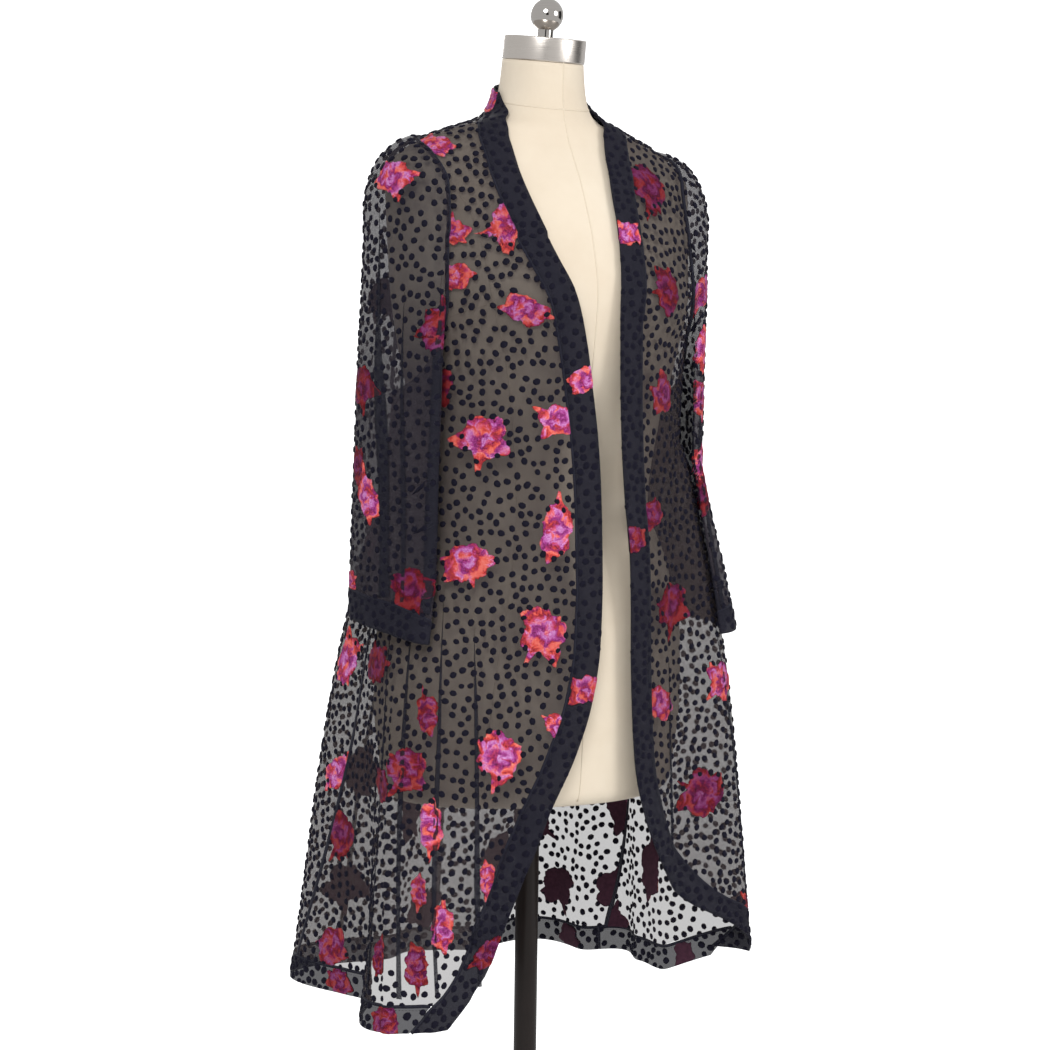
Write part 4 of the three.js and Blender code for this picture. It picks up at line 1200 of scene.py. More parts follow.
def read_path(path, at):
    """Places at fractional steps (N, S, R) of the paths."""
    low = np.minimum(at.astype(int), path.shape[2] - 2)
    first = np.take_along_axis(path, low[..., None], 2)
    second = np.take_along_axis(path, low[..., None] + 1, 2)
    return mix(first, second, (at - low)[..., None])


def cut_at_edge(panel, path):
    """How many steps each path keeps before it leaves the cloth, by halving the last step."""
    on = on_cloth(panel, path)
    last = path.shape[2] - 1
    first_off = np.where(on.all(2), last, np.argmin(on, 2)).astype(float)
    low, high = np.maximum(first_off - 1, 0), first_off
    for _ in range(6):
        middle = (low + high) / 2
        inside = on_cloth(panel, read_path(path, middle[..., None]))[..., 0]
        low, high = np.where(inside, middle, low), np.where(inside, high, middle)
    return np.where(on.all(2), last, low)


def pile_patches(panel, centres, turn, outline, steps, shares, lifts, ends):
    """Closed raised patches: centres (N, 2), their turns (N), the outline's length in S directions
    (N, S), the profile from the middle over the rim to the underside as shares of the outline (M)
    and lifts (N, M, S), and the lifts of the two middles. Returns points, faces and own places."""
    count, sectors = outline.shape
    own = np.arange(sectors) / sectors * 360
    path = walk(panel, centres, turn[:, None] + own, outline, steps)
    limit = cut_at_edge(panel, path)
    at = limit[..., None] * shares
    places = np.moveaxis(read_path(path, at), 2, 1)
    rows = len(shares)
    points = panel["surface"](places[..., 0], places[..., 1])
    points = points + cloth_normal(panel, places[..., 0], places[..., 1]) * lifts[..., None]
    middle = panel["surface"](centres[:, 0], centres[:, 1])
    normal = cloth_normal(panel, centres[:, 0], centres[:, 1])
    points = np.concatenate([points.reshape(count, -1, 3)]
                            + [(middle + normal * lift)[:, None] for lift in ends], 1)
    rim = np.moveaxis(outline[..., None] * at / steps, 2, 1)
    own_places = np.stack([rim * cos(own), rim * sin(own)], -1).reshape(count, -1, 2)
    own_places = np.concatenate([own_places, np.zeros((count, 2, 2))], 1)
    j = np.arange(sectors)
    ahead = (j + 1) % sectors
    top, foot = rows * sectors, rows * sectors + 1
    quads = grid_faces(rows, sectors, tube=True)
    caps = np.concatenate([np.stack([np.full(sectors, top), j, ahead], 1),
                           np.stack([np.full(sectors, foot), (rows - 1) * sectors + ahead,
                                     (rows - 1) * sectors + j], 1)])
    base = (np.arange(count) * (rows * sectors + 2))[:, None, None]
    return points, quads[None] + base, caps[None] + base, own_places


def patch_mesh(name, points, quads, caps, materials):
    """One object of many patches, turned outwards as the first patch is."""
    a, b, c, d = (points[0][quads[0][:, k]] for k in range(4))
    e, f, g = (points[0][caps[0][:, k]] for k in range(3))
    middle = points[0].mean(0)
    volume = sum(np.einsum("ij,ij->", x - middle, np.cross(y - middle, z - middle))
                 for x, y, z in ((a, b, c), (a, c, d), (e, f, g)))
    quads, caps = quads.reshape(-1, 4), caps.reshape(-1, 3)
    if volume < 0:
        quads, caps = quads[:, ::-1], caps[:, ::-1]
    return mesh_piece(name, points.reshape(-1, 3), quads.tolist() + caps.tolist(), materials)


def random_places(panel, count, random):
    """Places spread evenly by area over a panel's grid."""
    grid = panel["grid"]
    if panel["tube"]:
        grid = np.concatenate([grid, grid[:, :1] + [1, 0]], 1)
    points = panel["surface"](grid[..., 0], grid[..., 1])
    area = np.linalg.norm(np.cross(points[1:, :-1] - points[:-1, :-1],
                                   points[:-1, 1:] - points[:-1, :-1]), axis=2).ravel()
    cell = random.choice(len(area), count, p=area / area.sum())
    i, j = np.divmod(cell, grid.shape[1] - 1)
    down, over = random.random((2, count, 1))
    return mix(mix(grid[i, j], grid[i, j + 1], over), mix(grid[i + 1, j], grid[i + 1, j + 1], over), down)


def spaced(points, spacing, taken=()):
    """Indices of points kept in turn where nothing kept lies nearer than the spacing, looked up
    in a table of cubes as wide as it."""
    cubes = {}
    for point in taken:
        cubes.setdefault(tuple((point // spacing).astype(int)), []).append(point)
    kept = []
    near = [(x, y, z) for x in (-1, 0, 1) for y in (-1, 0, 1) for z in (-1, 0, 1)]
    limit = spacing * spacing
    for index, (point, cube) in enumerate(zip(points.tolist(), (points // spacing).astype(int).tolist())):
        close = False
        for x, y, z in near:
            for other in cubes.get((cube[0] + x, cube[1] + y, cube[2] + z), ()):
                if sum((p - q) ** 2 for p, q in zip(point, other)) < limit:
                    close = True
                    break
            if close:
                break
        if not close:
            cubes.setdefault(tuple(cube), []).append(point)
            kept.append(index)
    return kept


DOT_SPACING, DOT_RADIUS, DOT_SECTORS = 8.9, 3.6, 8
DOT_TRIES = 0.072  # places tried for each square millimetre
ROSE_CLEAR = 22.0  # no dot's middle lies nearer to a rose's middle
# a dot's profile as shares of its radius and lifts off the cloth, and the lifts of its two middles
PANEL_DOT = ([0.72, 1.0], [1.75, 0.45], (2.1, -0.5))
BAND_DOT = ([0.78, 1.0, 0.78], [2.25, 0.75, -0.75], (2.6, -1.1))
BAND_DOT_SIZE = 1.12


def dot_patches(panel, rose_points, seed):
    """Velvet dots, slightly oval, evenly but irregularly spread, with none on a rose."""
    random = np.random.default_rng(seed)
    count = int(panel["area"] * 1e6 * DOT_TRIES)
    places = random_places(panel, count, random)
    points = panel["surface"](places[:, 0], places[:, 1])
    if len(rose_points):
        away = np.linalg.norm(points[:, None] - rose_points[None], axis=2).min(1)
        places, points = places[away > ROSE_CLEAR], points[away > ROSE_CLEAR]
    kept = spaced(points, DOT_SPACING)
    centres = places[kept]
    count, sectors = len(centres), DOT_SECTORS
    own = np.arange(sectors) / sectors * 360
    size = random.normal(DOT_RADIUS, 0.2, (count, 1)) * (BAND_DOT_SIZE if panel["band"] else 1)
    outline = size * (1 + 0.1 * cos(2 * own)[None] + random.normal(0, 0.035, (count, sectors)))
    turn = random.random(count) * 360
    shares, rises, ends = BAND_DOT if panel["band"] else PANEL_DOT
    lifts = np.broadcast_to(np.array(rises)[None, :, None], (count, len(shares), sectors))
    return pile_patches(panel, centres, turn, outline, 1, np.array(shares), lifts, ends)[:3]


# Five kinds of rose, each by its lobes (how many, how deep, turned by) and its points: leaf tips
# and the stem (direction, half width in degrees, length as a share of the size)
ROSE_KINDS = [
    {"lobes": [(5, 0.07, 20), (3, 0.06, 75), (9, 0.03, 10)],
     "points": [(95, 9, 0.6), (150, 26, 0.5), (172, 8, 0.3), (25, 24, 0.35)]},
    {"lobes": [(4, 0.07, 50), (3, 0.08, 5), (11, 0.03, 0)],
     "points": [(62, 26, 0.5), (100, 7, 0.8), (40, 7, 0.35), (-160, 22, 0.4)]},
    {"lobes": [(5, 0.05, 80), (2, 0.24, 90), (8, 0.03, 30)],
     "points": [(-95, 10, 0.5), (88, 7, 0.8), (50, 16, 0.3)]},
    {"lobes": [(6, 0.05, 0), (2, 0.1, 20), (10, 0.03, 50)],
     "points": [(160, 22, 0.5), (200, 10, 0.45), (85, 9, 0.5), (10, 20, 0.3)]},
    {"lobes": [(5, 0.06, 40), (2, 0.15, 100), (7, 0.035, 15)],
     "points": [(60, 20, 0.55), (118, 9, 0.65), (-60, 14, 0.35), (-120, 8, 0.3)]},
]
ROSE_SIZE, ROSE_SECTORS, ROSE_APART = 21.0, 96, 112.0
# a rose's profile as shares of its outline: over the top to its rim, and back under it
ROSE_SHARES = np.array([0.14, 0.28, 0.42, 0.56, 0.7, 0.84, 0.95, 1.0, 0.93, 0.62, 0.3])
ROSE_TOP_ROWS, ROSE_UNDER_ROWS = 7, 3

# cloth, place on it, turn in degrees, size, kind, painted light level (lower paints the rose darker as
# painted shade): as they lie in the photo
ROSES = [
    ("front_right", -26.4, 1265, -70, 0.86, 2, 0.85), ("front_right", -41.7, 1136, 10, 1.1, 0, 0.95),
    ("front_right", -14.8, 1155, 80, 0.85, 4, 1.0), ("front_right", -13.7, 1042, 190, 1.0, 2, 1.0),
    ("front_right", -43.8, 1009, -20, 1.0, 3, 0.95), ("front_right", -16.3, 939, 20, 1.12, 1, 0.95),
    ("front_right", -30.0, 814, 15, 1.08, 1, 1.0), ("front_right", -30.4, 1353, 40, 1.05, 4, 0.85),
    ("front_right", -65.5, 1433, 100, 0.9, 4, 0.9), ("front_right", -11.4, 841, 120, 0.6, 2, 1.0),
    ("front_right", -53.4, 1344, 200, 0.7, 3, 0.85), ("front_right", -54.4, 1297, 90, 0.85, 2, 0.85),
    ("front_right", -66, 1190, 30, 1.05, 0, 0.45), ("front_right", -52.5, 856, 170, 0.7, 2, 0.6),
    ("front_right", -48.2, 744, 5, 0.85, 2, 1.0), ("front_right", -58.7, 799, 20, 1.05, 0, 0.6),
    ("front_right", -72.8, 779, 110, 0.8, 4, 0.4), ("front_right", -120.8, 711, 20, 1.0, 1, 0.5),
    ("front_right", -91.7, 898, 160, 1.0, 3, 0.42), ("front_right", -33.2, 687, 0, 0.6, 2, 0.95),
    ("front_right", -50.1, 679, -5, 0.55, 2, 0.8), ("front_right", -43.9, 641, 180, 0.8, 2, 0.95),
    ("front_right", -122.4, 590, 0, 0.95, 0, 0.65), ("front_right", -60.3, 612, 0, 0.65, 2, 0.55),
    ("front_right", -49, 604, -8, 0.75, 2, 0.6),
    ("sleeve_right", 0.46, 0.104, 60, 0.95, 4, 0.95), ("sleeve_right", 0.54, 0.512, 10, 1.0, 0, 0.42),
    ("sleeve_right", 0.55, 0.68, 80, 0.75, 3, 0.45), ("sleeve_right", 0.505, 0.739, 200, 0.95, 2, 1.0),
    ("sleeve_right", 0.375, 0.893, 30, 1.05, 0, 0.38), ("sleeve_right", 0.57, 0.925, 0, 0.6, 3, 0.9),
    ("front_band_right", -5.1, 1198, 90, 0.8, 2, 1.0), ("front_band_right", -2.0, 879, 90, 0.8, 4, 0.9),
    ("front_band_right", -31.8, 612, 80, 0.8, 2, 0.5), ("front_band_left", 11.5, 1346, 80, 0.8, 2, 1.0),
    ("front_band_left", 13.7, 1031, 90, 0.8, 4, 0.6), ("front_band_left", 31, 753, 60, 0.85, 0, 0.7),
    ("front_left", 28.3, 1399, 20, 1.15, 1, 0.4), ("front_left", 26.7, 1290, 80, 0.95, 3, 0.42),
    ("front_left", 31.1, 1182, 100, 0.9, 0, 0.6), ("front_left", 24.4, 1056, 60, 0.85, 4, 0.5),
    ("front_left", 37.6, 960, 10, 1.15, 0, 0.42), ("front_left", 27.9, 858, 95, 0.95, 4, 0.8),
    ("front_left", 48, 755, 120, 1.2, 1, 0.5), ("front_left", 55, 875, 60, 0.9, 0, 0.9),
    ("sleeve_left", 0.33, 0.19, 90, 0.95, 2, 0.85), ("sleeve_left", 0.33, 0.32, 30, 0.9, 4, 1.0),
    ("sleeve_left", 0.33, 0.445, 70, 0.9, 0, 0.85), ("sleeve_left", 0.333, 0.602, 95, 0.95, 1, 0.95),
    ("sleeve_left", 0.27, 0.63, 80, 0.9, 3, 0.4), ("sleeve_left", 0.62, 0.06, 30, 0.8, 4, 0.8),
    ("back_panel", -230.5, 703, 0, 1.0, 4, 0.8), ("back_panel", -208.6, 611, 0, 1.05, 1, 0.8),
    ("back_panel", -225.7, 612, 90, 1.0, 0, 0.8), ("back_panel", -240, 640, 40, 1.0, 3, 0.8),
    ("back_panel", -236.7, 762, 0, 1.0, 2, 0.8), ("back_panel", -155.7, 632, 0, 1.1, 0, 0.8),
    ("back_panel", -156.2, 760, 60, 1.1, 1, 0.8), ("back_panel", -170.1, 706, 0, 1.0, 4, 0.8),
    ("back_panel", -193.5, 652, 0, 1.1, 3, 0.8), ("back_panel", -201.7, 686, 60, 0.9, 2, 0.8),
    ("back_panel", -176.7, 590, 80, 0.95, 0, 0.8), ("neck_band", -109.6, 1487, 90, 0.8, 4, 0.9),
    ("hem_band_back", -211.5, 552, 0, 0.75, 0, 0.7), ("hem_band_right", -118, 553, 0, 0.7, 3, 0.6),
    ("hem_band_right", -55, 551, 0, 0.7, 1, 0.6), ("hem_band_left", 84, 560, 0, 0.6, 4, 0.9),
]
PHOTO_SIDE = np.array([-0.5, -0.866, 0.0])  # towards where the photo was taken from


def roses_of(name, panel, seed):
    """The table's roses on one cloth, and seeded ones where the photo does not show it."""
    rows = [row[1:] for row in ROSES if row[0] == name]
    random = np.random.default_rng(seed)
    if not panel["band"]:
        places = random_places(panel, 900, random)
        points = panel["surface"](places[:, 0], places[:, 1])
        normal = cloth_normal(panel, places[:, 0], places[:, 1])
        hidden = normal @ PHOTO_SIDE < (-0.25 if name != "back_panel" else 2)
        places, points = places[hidden], points[hidden]
        taken = [panel["surface"](np.array(row[0]), np.array(row[1])) for row in rows]
        for index in spaced(points, ROSE_APART, taken):
            a, b = places[index]
            # painted shade: seeded roses take a painted light level of one of 0.5, 0.8 and 1.0 at random
            rows.append((a, b, random.random() * 360, random.uniform(0.85, 1.15),
                         int(random.integers(5)), random.choice([0.5, 0.8, 1.0])))
    return np.array(rows, float).reshape(-1, 6)


def rose_patches(panel, rows, seed):
    """Roses with petal relief: each outline is lobes, leaf tips, a stem and a ragged edge."""
    random = np.random.default_rng(seed)
    count, sectors = len(rows), ROSE_SECTORS
    own = np.arange(sectors) / sectors * 360
    outline = np.ones((count, sectors))
    for index, kind in enumerate(rows[:, 4].astype(int)):
        for many, deep, turn in ROSE_KINDS[kind]["lobes"]:
            outline[index] += 1.2 * deep * cos(many * (own - turn) + random.normal(0, 25))
        for direction, wide, long in ROSE_KINDS[kind]["points"]:
            offset = wrap(own - direction - random.normal(0, 8))
            outline[index] += long * np.maximum(1 - np.abs(offset) / wide, 0) ** 0.8
    ragged = random.normal(0, 1, outline.shape)
    ragged = (ragged + np.roll(ragged, 1, 1) + 0.6 * random.normal(0, 1, outline.shape)) * 0.016
    outline = outline + ragged
    outline = outline * (ROSE_SIZE * rows[:, 3])[:, None]
    top = 1.45 + (1.5 if panel["band"] else 0)
    under = -0.45 - (0.4 if panel["band"] else 0)
    profile = np.array([top] * ROSE_TOP_ROWS + [0.4] + [under] * ROSE_UNDER_ROWS)
    lifts = profile[None, :, None] + np.zeros((count, 1, sectors))
    # petals: a two-armed spiral of 2.3 turns, with the pile's unevenness
    swirl = 360 * 2.3 * ROSE_SHARES[None, :ROSE_TOP_ROWS, None] + 2 * own[None, None]
    swirl = swirl + random.random((count, 1, 1)) * 360
    uneven = random.normal(0, 0.06, (count, ROSE_TOP_ROWS, sectors))
    lifts[:, :ROSE_TOP_ROWS] += 0.35 * np.sin(np.radians(swirl)) + uneven
    points, quads, caps, places = pile_patches(panel, rows[:, :2], rows[:, 2], outline, 8, ROSE_SHARES,
                                               lifts, (top + 0.3, under))
    return points, quads, caps, places / (ROSE_SIZE * rows[:, 3])[:, None, None]


def add_velvet(name, panel, seed):
    """The dots and the roses of one cloth as two objects that ride with it."""
    rows = roses_of(name, panel, seed)
    rose_points = panel["surface"](rows[:, 0], rows[:, 1]) if len(rows) else np.zeros((0, 3))
    points, quads, caps = dot_patches(panel, rose_points, seed)
    dots = patch_mesh(name + "_dots", points, quads, caps, [dot_velvet])
    finish_piece(dots, "velvet_band")
    pieces = [dots]
    if len(rows):
        points, quads, caps, places = rose_patches(panel, rows, seed + 1)
        roses = patch_mesh(name + "_roses", points, quads, caps, [rose_velvet, rose_back])
        put_uv(roses, "rose", places.reshape(-1, 2))
        # painted shade: each rose's painted light level goes onto its points, for the rose material to
        # darken it by
        for label, values in (("painted_light_level", rows[:, 5]), ("seedling", np.arange(len(rows)) * 7.3)):
            layer = roses.data.attributes.new(label, "FLOAT", "POINT")
            layer.data.foreach_set("value", np.repeat(values, points.shape[1]).astype(np.float32))
        under = np.arange(quads.shape[1]) // ROSE_SECTORS >= ROSE_TOP_ROWS
        under_cap = np.arange(2 * ROSE_SECTORS) >= ROSE_SECTORS
        kinds = np.concatenate([np.tile(under, len(rows)), np.tile(under_cap, len(rows))])
        roses.data.polygons.foreach_set("material_index", kinds.astype(np.int32))
        finish_piece(roses, "velvet_band")
        pieces.append(roses)
    return pieces


def cord(name, points, normals, half_width, half_height, material, closed=False, sides=8):
    """A flat cord along points (K, 3): at each an oval of the two half sizes, across and along
    the cloth's normal. Closed lines join round, open ones get end caps."""
    ahead = (np.roll(points, -1, 0) - np.roll(points, 1, 0)) if closed else np.gradient(points, axis=0)
    across = unit_length(np.cross(unit_length(ahead), normals))
    angle = np.arange(sides) / sides * 360
    ring = (points[:, None] + across[:, None] * (half_width * cos(angle))[None, :, None]
            + normals[:, None] * (half_height * sin(angle))[None, :, None])
    count = len(points)
    corners = ring.reshape(-1, 3)
    if closed:
        ring_of = np.concatenate([np.arange(count), [0]])
        i, j = np.meshgrid(np.arange(count), np.arange(sides), indexing="ij")
        low, high = ring_of[i] * sides, ring_of[i + 1] * sides
        faces = np.stack([low + j, high + j, high + (j + 1) % sides, low + (j + 1) % sides], -1)
        faces = faces.reshape(-1, 4).tolist()
    else:
        faces = grid_faces(count, sides, tube=True).tolist()
        faces += [list(range(sides)), list(range(count * sides - 1, (count - 1) * sides - 1, -1))]
    a, b, c = (corners[faces[0][k]] for k in range(3))
    if np.dot(np.cross(b - a, c - a), a - points[0]) < 0:
        faces = [face[::-1] for face in faces]
    piece = mesh_piece(name, corners, faces, [material])
    length = np.concatenate([[0], np.cumsum(np.linalg.norm(np.diff(points, axis=0), axis=1))])
    places = np.stack(np.broadcast_arrays(length[:, None], angle[None] * 0.02), -1)
    put_uv(piece, "cloth", places.reshape(-1, 2) * 0.001)
    return piece


def seam_on(name, surface, places, lift, half_width=2.4, half_height=0.85, closed=False,
            steps=BODY_STEPS, out=1.0):
    """A seam's turned-in edges, a dark flat cord over the joint of two cloths."""
    a, b = places[:, 0], places[:, 1]
    normal = outward_normal(surface, a, b, steps, out)
    points = surface(a, b) + normal * lift
    return finish_piece(cord(name, points, normal, half_width, half_height, seam_cloth, closed),
                        "velvet_band")


ROUND_POINTS = 144


def make_seams():
    """Side seams, shoulders, armholes, and the seams along the bands; each goes with a cloth."""
    made = {}
    for name, side in SIGN.items():
        front = panels["front_" + name]["grid"]
        arm = int(np.argmax(front[:, -1, 1] < UNDERARM - 0.5))
        run = front[arm:, -1] + [side * HALF_GAP_TURN, 0]
        seam_angle = side * side_seam(HEM_LOW)
        low = hem_height(seam_angle) + np.linspace(1, 0, 6) * HEM_BAND + SEAM_GAP / 2
        run = np.concatenate([run, np.stack([turn_of(seam_angle, low), low], 1)])
        made.setdefault("front_" + name, []).append(
            seam_on("side_seam_" + name, kimono_body, run, 0.45, 3.0))
        heights = np.linspace(ARM_TOP + 1, NECK_SIDE - 0.5, 16)
        shoulder = np.stack([np.full(16, side * 90.0), heights], 1)
        made["front_" + name].append(seam_on("shoulder_seam_" + name, kimono_body, shoulder, 0.45, 2.0))
        around = np.arange(ROUND_POINTS) / ROUND_POINTS
        edge_height = mix(UNDERARM, ARM_TOP, np.sin(np.pi * around) ** 2)
        edge = np.where(around <= 0.5, armhole_front(edge_height), armhole_back(edge_height))
        turn = turn_of(side * edge, edge_height)
        hole = np.stack([turn, edge_height], 1)
        made.setdefault("sleeve_" + name, []).append(
            seam_on("armhole_seam_" + name, kimono_body, hole, 1.9, 2.3, 2.0, closed=True))
        cuff = np.stack([around, np.full(ROUND_POINTS, sleeve_foot - sleeve_gap / 2)], 1)
        made["sleeve_" + name].append(seam_on(
            "cuff_seam_" + name, sleeve_surfaces[name], cuff, 0.45, 1.8, 0.9, True, SLEEVE_STEPS, -side))
        collar = np.stack([np.full(12, side * 90.0), np.linspace(BAND_FOOT, COLLAR_SIDE, 12)], 1)
        made["front_" + name].append(seam_on("collar_joint_" + name, kimono_body, collar, 0.75, 1.4, 1.1))
        band = finer(mix(LINES[name]["seam"], LINES[name]["panel"], 0.5), 240)
        made["front_" + name].append(seam_on("band_seam_" + name, kimono_body, band, 0.5, 2.0, 1.0))
    for name, (start, end) in hem_starts().items():
        top = hem_grid(start, end, 2, 120)[0] + [0, SEAM_GAP / 2]
        home = "back_panel" if name == "back" else "front_" + name
        made.setdefault(home, []).append(seam_on("hem_seam_" + name, kimono_body, top, 0.5, 1.8, 1.0))
    neck = neck_band_grid(2, 60)[-1] - [0, SEAM_GAP / 2]
    made.setdefault("back_panel", []).append(seam_on("neck_seam", kimono_body, neck, 0.5, 1.8, 1.0))
    return made


# Narrow pleats where the cloth lies folded on itself: cloth, start and end of each as places,
# half width in millimetres
PLEATS = [
    ("front_right", (-52, 960), (-46.2, 578), 2.4), ("front_right", (-63, 980), (-56, 575), 2.6),
    ("front_right", (-75, 1000), (-64, 572), 2.6), ("front_right", (-83, 930), (-74, 572), 2.2),
    ("front_left", (46, 900), (50, 700), 2.2), ("front_left", (66, 960), (70, 610), 2.2),
    ("sleeve_right", (0.28, 0.1), (0.3, 0.93), 6.0), ("sleeve_right", (0.42, 0.3), (0.4, 0.93), 2.6),
    ("sleeve_right", (0.49, 0.16), (0.45, 0.93), 6.5),
    ("sleeve_left", (0.2, 0.12), (0.23, 0.93), 3.0), ("sleeve_left", (0.3, 0.3), (0.29, 0.93), 2.4),
    ("back_panel", (-150, 1150), (-146, 575), 2.4), ("back_panel", (-178, 1050), (-179, 575), 2.4),
    ("back_panel", (-206, 1150), (-210, 575), 2.4),
]


PLEAT_LIFTS = (0.85, 1.5)


def pleat(number, name, start, end, half_width):
    """Two further layers of cloth in a strip that widens downwards from nothing."""
    facts = panels[name]
    t = np.linspace(0, 1, 90)
    if facts["tube"]:
        line = mix(np.array(start), np.array(end), t[:, None])
        line[:, 0] += 0.006 * np.sin(6 * t)
    else:
        height = mix(start[1], end[1], t)
        direction = mix(start[0], end[0], t) + 0.5 * np.sin(5 * t + number)
        line = np.stack([turn_of(direction, height), height], 1)
        line[:, 0] -= 360 * np.round((line[:, 0] - start[0]) / 360)
    wide = half_width * ease(unit(t * 2.2)) * (1 + 0.15 * np.sin(11 * t + number))
    move = per_millimetre(facts, line, np.zeros(90)) * wide[:, None]
    grid = line[:, None] + move[:, None] * np.linspace(-1, 1, 5)[None, :, None]
    piece, _ = cloth_shell(f"pleat_{number}_{name}", facts["surface"], grid, PLEAT_LIFTS,
                           [double_chiffon], facts["steps"], out=facts["out"])
    return finish_piece(piece, "velvet_band")


STITCH = {"half": 1.1, "every": 3.4, "half_width": 0.25, "half_height": 0.28, "lift": 1.55}


def stitch_row(name, surface, line, steps=BODY_STEPS, out=1.0):
    """Short machine stitches along a line of places: thin grains with four corners round their
    middle, as closed patches of one object."""
    a, b = line[:, 0], line[:, 1]
    points = surface(a, b) + outward_normal(surface, a, b, steps, out) * STITCH["lift"]
    normals = outward_normal(surface, a, b, steps, out)
    length = np.concatenate([[0], np.cumsum(np.linalg.norm(np.diff(points, axis=0), axis=1))])
    at = np.arange(STITCH["every"] / 2, length[-1], STITCH["every"])
    ends = [np.stack([np.interp(at + s, length, points[:, k]) for k in range(3)], 1)
            for s in (-STITCH["half"], STITCH["half"])]
    normal = unit_length(np.stack([np.interp(at, length, normals[:, k]) for k in range(3)], 1))
    middle = (ends[0] + ends[1]) / 2
    ahead = ends[1] - ends[0]
    across = unit_length(np.cross(ahead, normal))
    across, normal = across * STITCH["half_width"], normal * STITCH["half_height"]
    corners = np.stack([ends[0], middle + across, middle + normal, middle - across, middle - normal,
                        ends[1]], 1)
    faces = np.array([[0, 1, 2], [0, 2, 3], [0, 3, 4], [0, 4, 1],
                      [5, 2, 1], [5, 3, 2], [5, 4, 3], [5, 1, 4]])
    a, b, c = corners[0][faces[0]]
    if np.dot(np.cross(b - a, c - a), a - middle[0]) < 0:
        faces = faces[:, ::-1]
    all_faces = (faces[None] + (np.arange(len(at)) * 6)[:, None, None]).reshape(-1, 3)
    piece = mesh_piece(name, corners.reshape(-1, 3), all_faces.tolist(), [dot_velvet])
    return finish_piece(piece, "velvet_band")


def make_stitches():
    """Stitches along both edges of the front bands and the top of the hem and cuff bands."""
    made = {}
    for name, side in SIGN.items():
        for label, share in (("inner", 0.1), ("outer", 0.88)):
            line = finer(mix(LINES[name]["free"], LINES[name]["seam"], share), 400)
            made.setdefault("front_band_" + name, []).append(
                stitch_row(f"band_stitches_{label}_{name}", kimono_body, line))
        around = np.stack([np.linspace(0, 1, 300), np.full(300, sleeve_foot + 0.008)], 1)
        made["cuff_band_" + name] = [stitch_row(
            "cuff_stitches_" + name, sleeve_surfaces[name], around, SLEEVE_STEPS, -side)]
    for name, (start, end) in hem_starts().items():
        line = hem_grid(start, end, 9, 240)[1]
        made["hem_band_" + name] = [stitch_row("hem_stitches_" + name, kimono_body, line)]
    return made


def form_seam(name, turns, heights, half_width=0.8):
    """A seam of the linen cover: a low ridge over the form's surface."""
    turns, heights = np.broadcast_arrays(turns, heights)
    normal = normal_of(form_point, turns, heights)
    piece = cord(name, form_point(turns, heights) + normal * 0.05, normal, half_width, 0.4, linen_seam)
    return finish_piece(piece, "linen")


def make_form_seams():
    """Centre front and back, two princess lines on each side with the bust's darts, the sides,
    and the neck's base."""
    height = np.linspace(758, 1488, 260)
    for name, turn in (("front", 0.0), ("back", 180.0), ("side_right", -90.0), ("side_left", 90.0)):
        top = 1440 if "side" in name else 1488
        form_seam("form_seam_" + name, turn, np.linspace(758, top, 260))
    bend = smooth_line([(758, 38), (880, 33), (1000, 29), (1150, 33), (1275, 38), (1360, 44), (1445, 62)])
    low = height[height < 1446]
    for name, side in SIGN.items():
        form_seam("form_princess_front_" + name, side * bend(low), low)
        form_seam("form_princess_back_" + name, side * (180 - bend(low) * 0.95), low)
        dart = np.linspace(0, 1, 60)
        form_seam("form_bust_dart_" + name, side * mix(38, 84, dart), mix(1272, 1238, dart), 0.7)
    form_seam("form_neck_front", 0.0, np.linspace(1486, 1528, 20), 0.7)
    round_turn = np.linspace(-179, 179, 220)
    form_seam("form_neck_base", round_turn, 1487 - 9 * cos(round_turn), 0.9)


seams = make_seams()
stitches = make_stitches()
make_form_seams()
for number, (name, facts) in enumerate(panels.items()):
    velvet = add_velvet(name, facts, 100 + 10 * number)
    extras = velvet + seams.get(name, []) + stitches.get(name, [])
    extras += [pleat(count, *row) for count, row in enumerate(PLEATS) if row[0] == name]


# Floor, light and camera
def make_floor():
    """A pale round floor, level at nought."""
    floor = turned("studio_floor", [(0, -6), (1600, -6), (1600, -0.5), (0, -0.5)], [floor_paint], sides=96)


def make_cards():
    """Two dark cards out of the picture, which the polished ball and the steel cap mirror."""
    for name, place, size in (("studio_card_behind", (-1.55, -3.1, 1.5), 1.1),
                              ("studio_card_side", (2.3, -0.5, 1.7), 1.3)):
        low, away = np.array(place), np.array(place) - [0, 0, place[2]]
        away = away / np.linalg.norm(away)
        over, up = np.array([-away[1], away[0], 0]) * size / 2, np.array([0, 0, size / 2])
        corners = [low - over - up, low + over - up, low + over + up, low - over + up]
        corners += [corner + away * 0.01 for corner in corners]
        faces = [[0, 1, 2, 3], [7, 6, 5, 4], [0, 4, 5, 1], [1, 5, 6, 2], [2, 6, 7, 3], [3, 7, 4, 0]]
        mesh_piece(name, np.array(corners) * 1000, faces, [card_paint], smooth=False)


def soft_light(name, place, target, size, watts):
    """A round white lamp at a place in metres, turned to a target."""
    light = bpy.data.lights.new(name, "AREA")
    light.shape, light.size, light.energy = "DISK", size, watts
    lamp = bpy.data.objects.new(name, light)
    bpy.context.scene.collection.objects.link(lamp)
    lamp.location = place
    lamp.rotation_euler = (Vector(target) - Vector(place)).to_track_quat("-Z", "Y").to_euler()


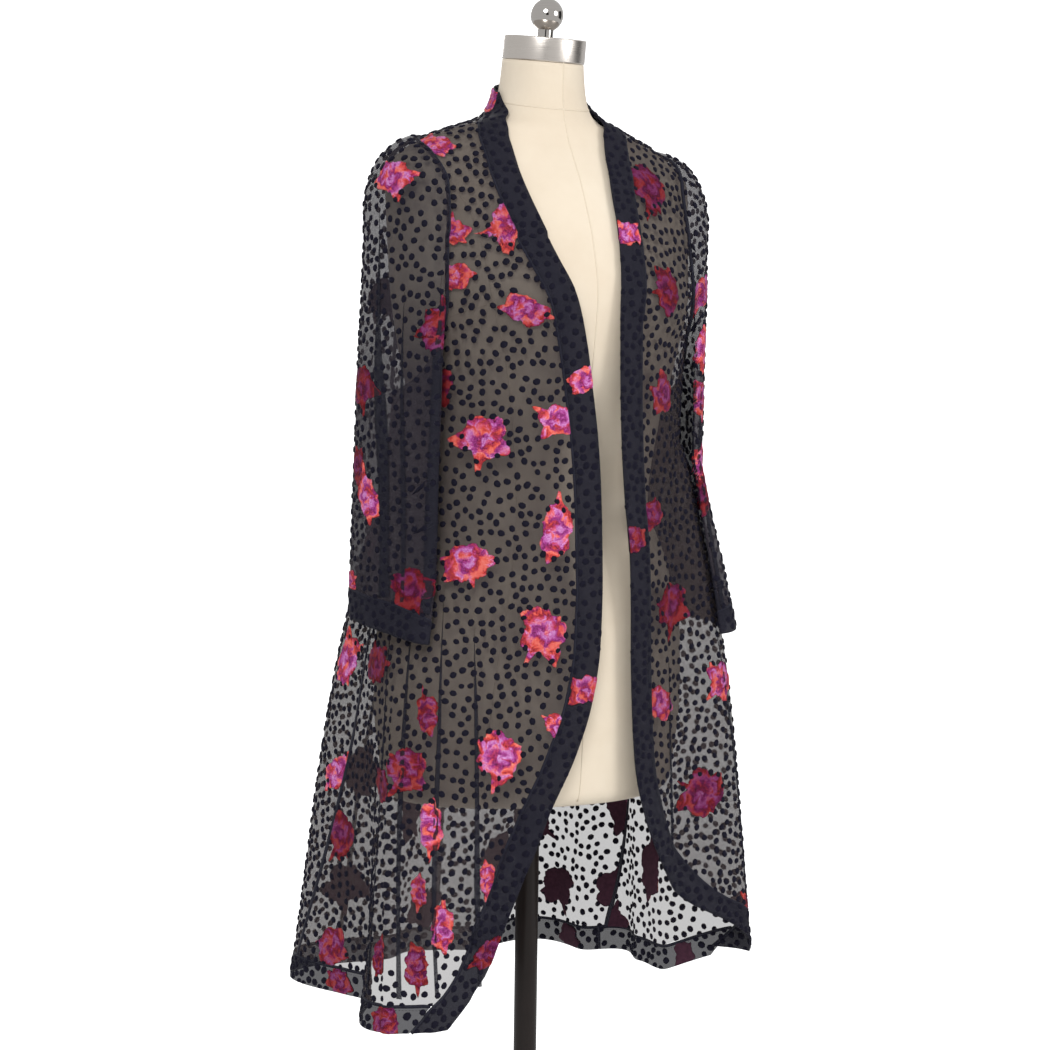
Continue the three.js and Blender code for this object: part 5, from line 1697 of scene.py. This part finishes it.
def make_world():
    """White all round: brighter where the camera sees it, past the cloth too, than as a light."""
    world = bpy.data.worlds.new("studio_white")
    bpy.context.scene.world = world
    world.use_nodes = True
    tree = world.node_tree
    background = next(n for n in tree.nodes if n.type == "BACKGROUND")
    background.inputs["Color"].default_value = (1, 1, 1, 1)
    seen = node(tree, "ShaderNodeLightPath").outputs["Is Camera Ray"]
    strength = math_node(tree, "ADD", math_node(tree, "MULTIPLY", seen, BACKDROP - FILL), FILL)
    tree.links.new(strength, background.inputs["Strength"])


BACKDROP, FILL = 1.5, 0.64
floor_paint, _, floor_shader = new_material("pale_floor")
floor_shader.inputs["Base Color"].default_value = (0.86, 0.86, 0.85, 1)
floor_shader.inputs["Roughness"].default_value = 0.8
card_paint, _, card_shader = new_material("dark_card")
card_shader.inputs["Base Color"].default_value = (0.02, 0.02, 0.022, 1)
card_shader.inputs["Roughness"].default_value = 0.9
make_floor()
make_cards()
make_world()
soft_light("key_light", (-2.4, -3.0, 2.9), (0, 0, 1.1), 1.8, 92)
soft_light("side_light", (2.0, -2.8, 1.9), (0, 0, 1.0), 1.6, 44)
soft_light("back_light", (0.8, 3.0, 2.6), (0, 0, 1.1), 1.6, 30)

# The camera stands to the wearer's right at chest height, looks a little down and leans slightly.
CAMERA_SIDE, CAMERA_DISTANCE, CAMERA_HEIGHT = 30.0, 2.72, 1.177
CAMERA_DROP, CAMERA_YAW, CAMERA_ROLL = 2.86, 0.162, 0.8
camera_data = bpy.data.cameras.new("photo_camera")
camera_data.sensor_width, camera_data.lens = 36.0, 87.26
camera = bpy.data.objects.new("photo_camera", camera_data)
bpy.context.scene.collection.objects.link(camera)
bpy.context.scene.camera = camera
heading = math.radians(CAMERA_SIDE - CAMERA_YAW)
drop = math.radians(CAMERA_DROP)
ahead = Vector((math.sin(heading) * math.cos(drop), math.cos(heading) * math.cos(drop), -math.sin(drop)))
across = Vector((math.cos(heading), -math.sin(heading), 0))
roll = Matrix.Rotation(math.radians(-CAMERA_ROLL), 3, ahead)
across = roll @ across
over = across.cross(ahead)
turn = Matrix((across, over, -ahead)).transposed().to_4x4()
side = math.radians(CAMERA_SIDE)
camera.matrix_world = Matrix.Translation((-math.sin(side) * CAMERA_DISTANCE, -math.cos(side)
                                          * CAMERA_DISTANCE, CAMERA_HEIGHT)) @ turn

scene = bpy.context.scene
scene.view_settings.view_transform = "Standard"
scene.view_settings.look = "None"
scene.cycles.transparent_max_bounces = 40
scene.cycles.max_bounces = 10
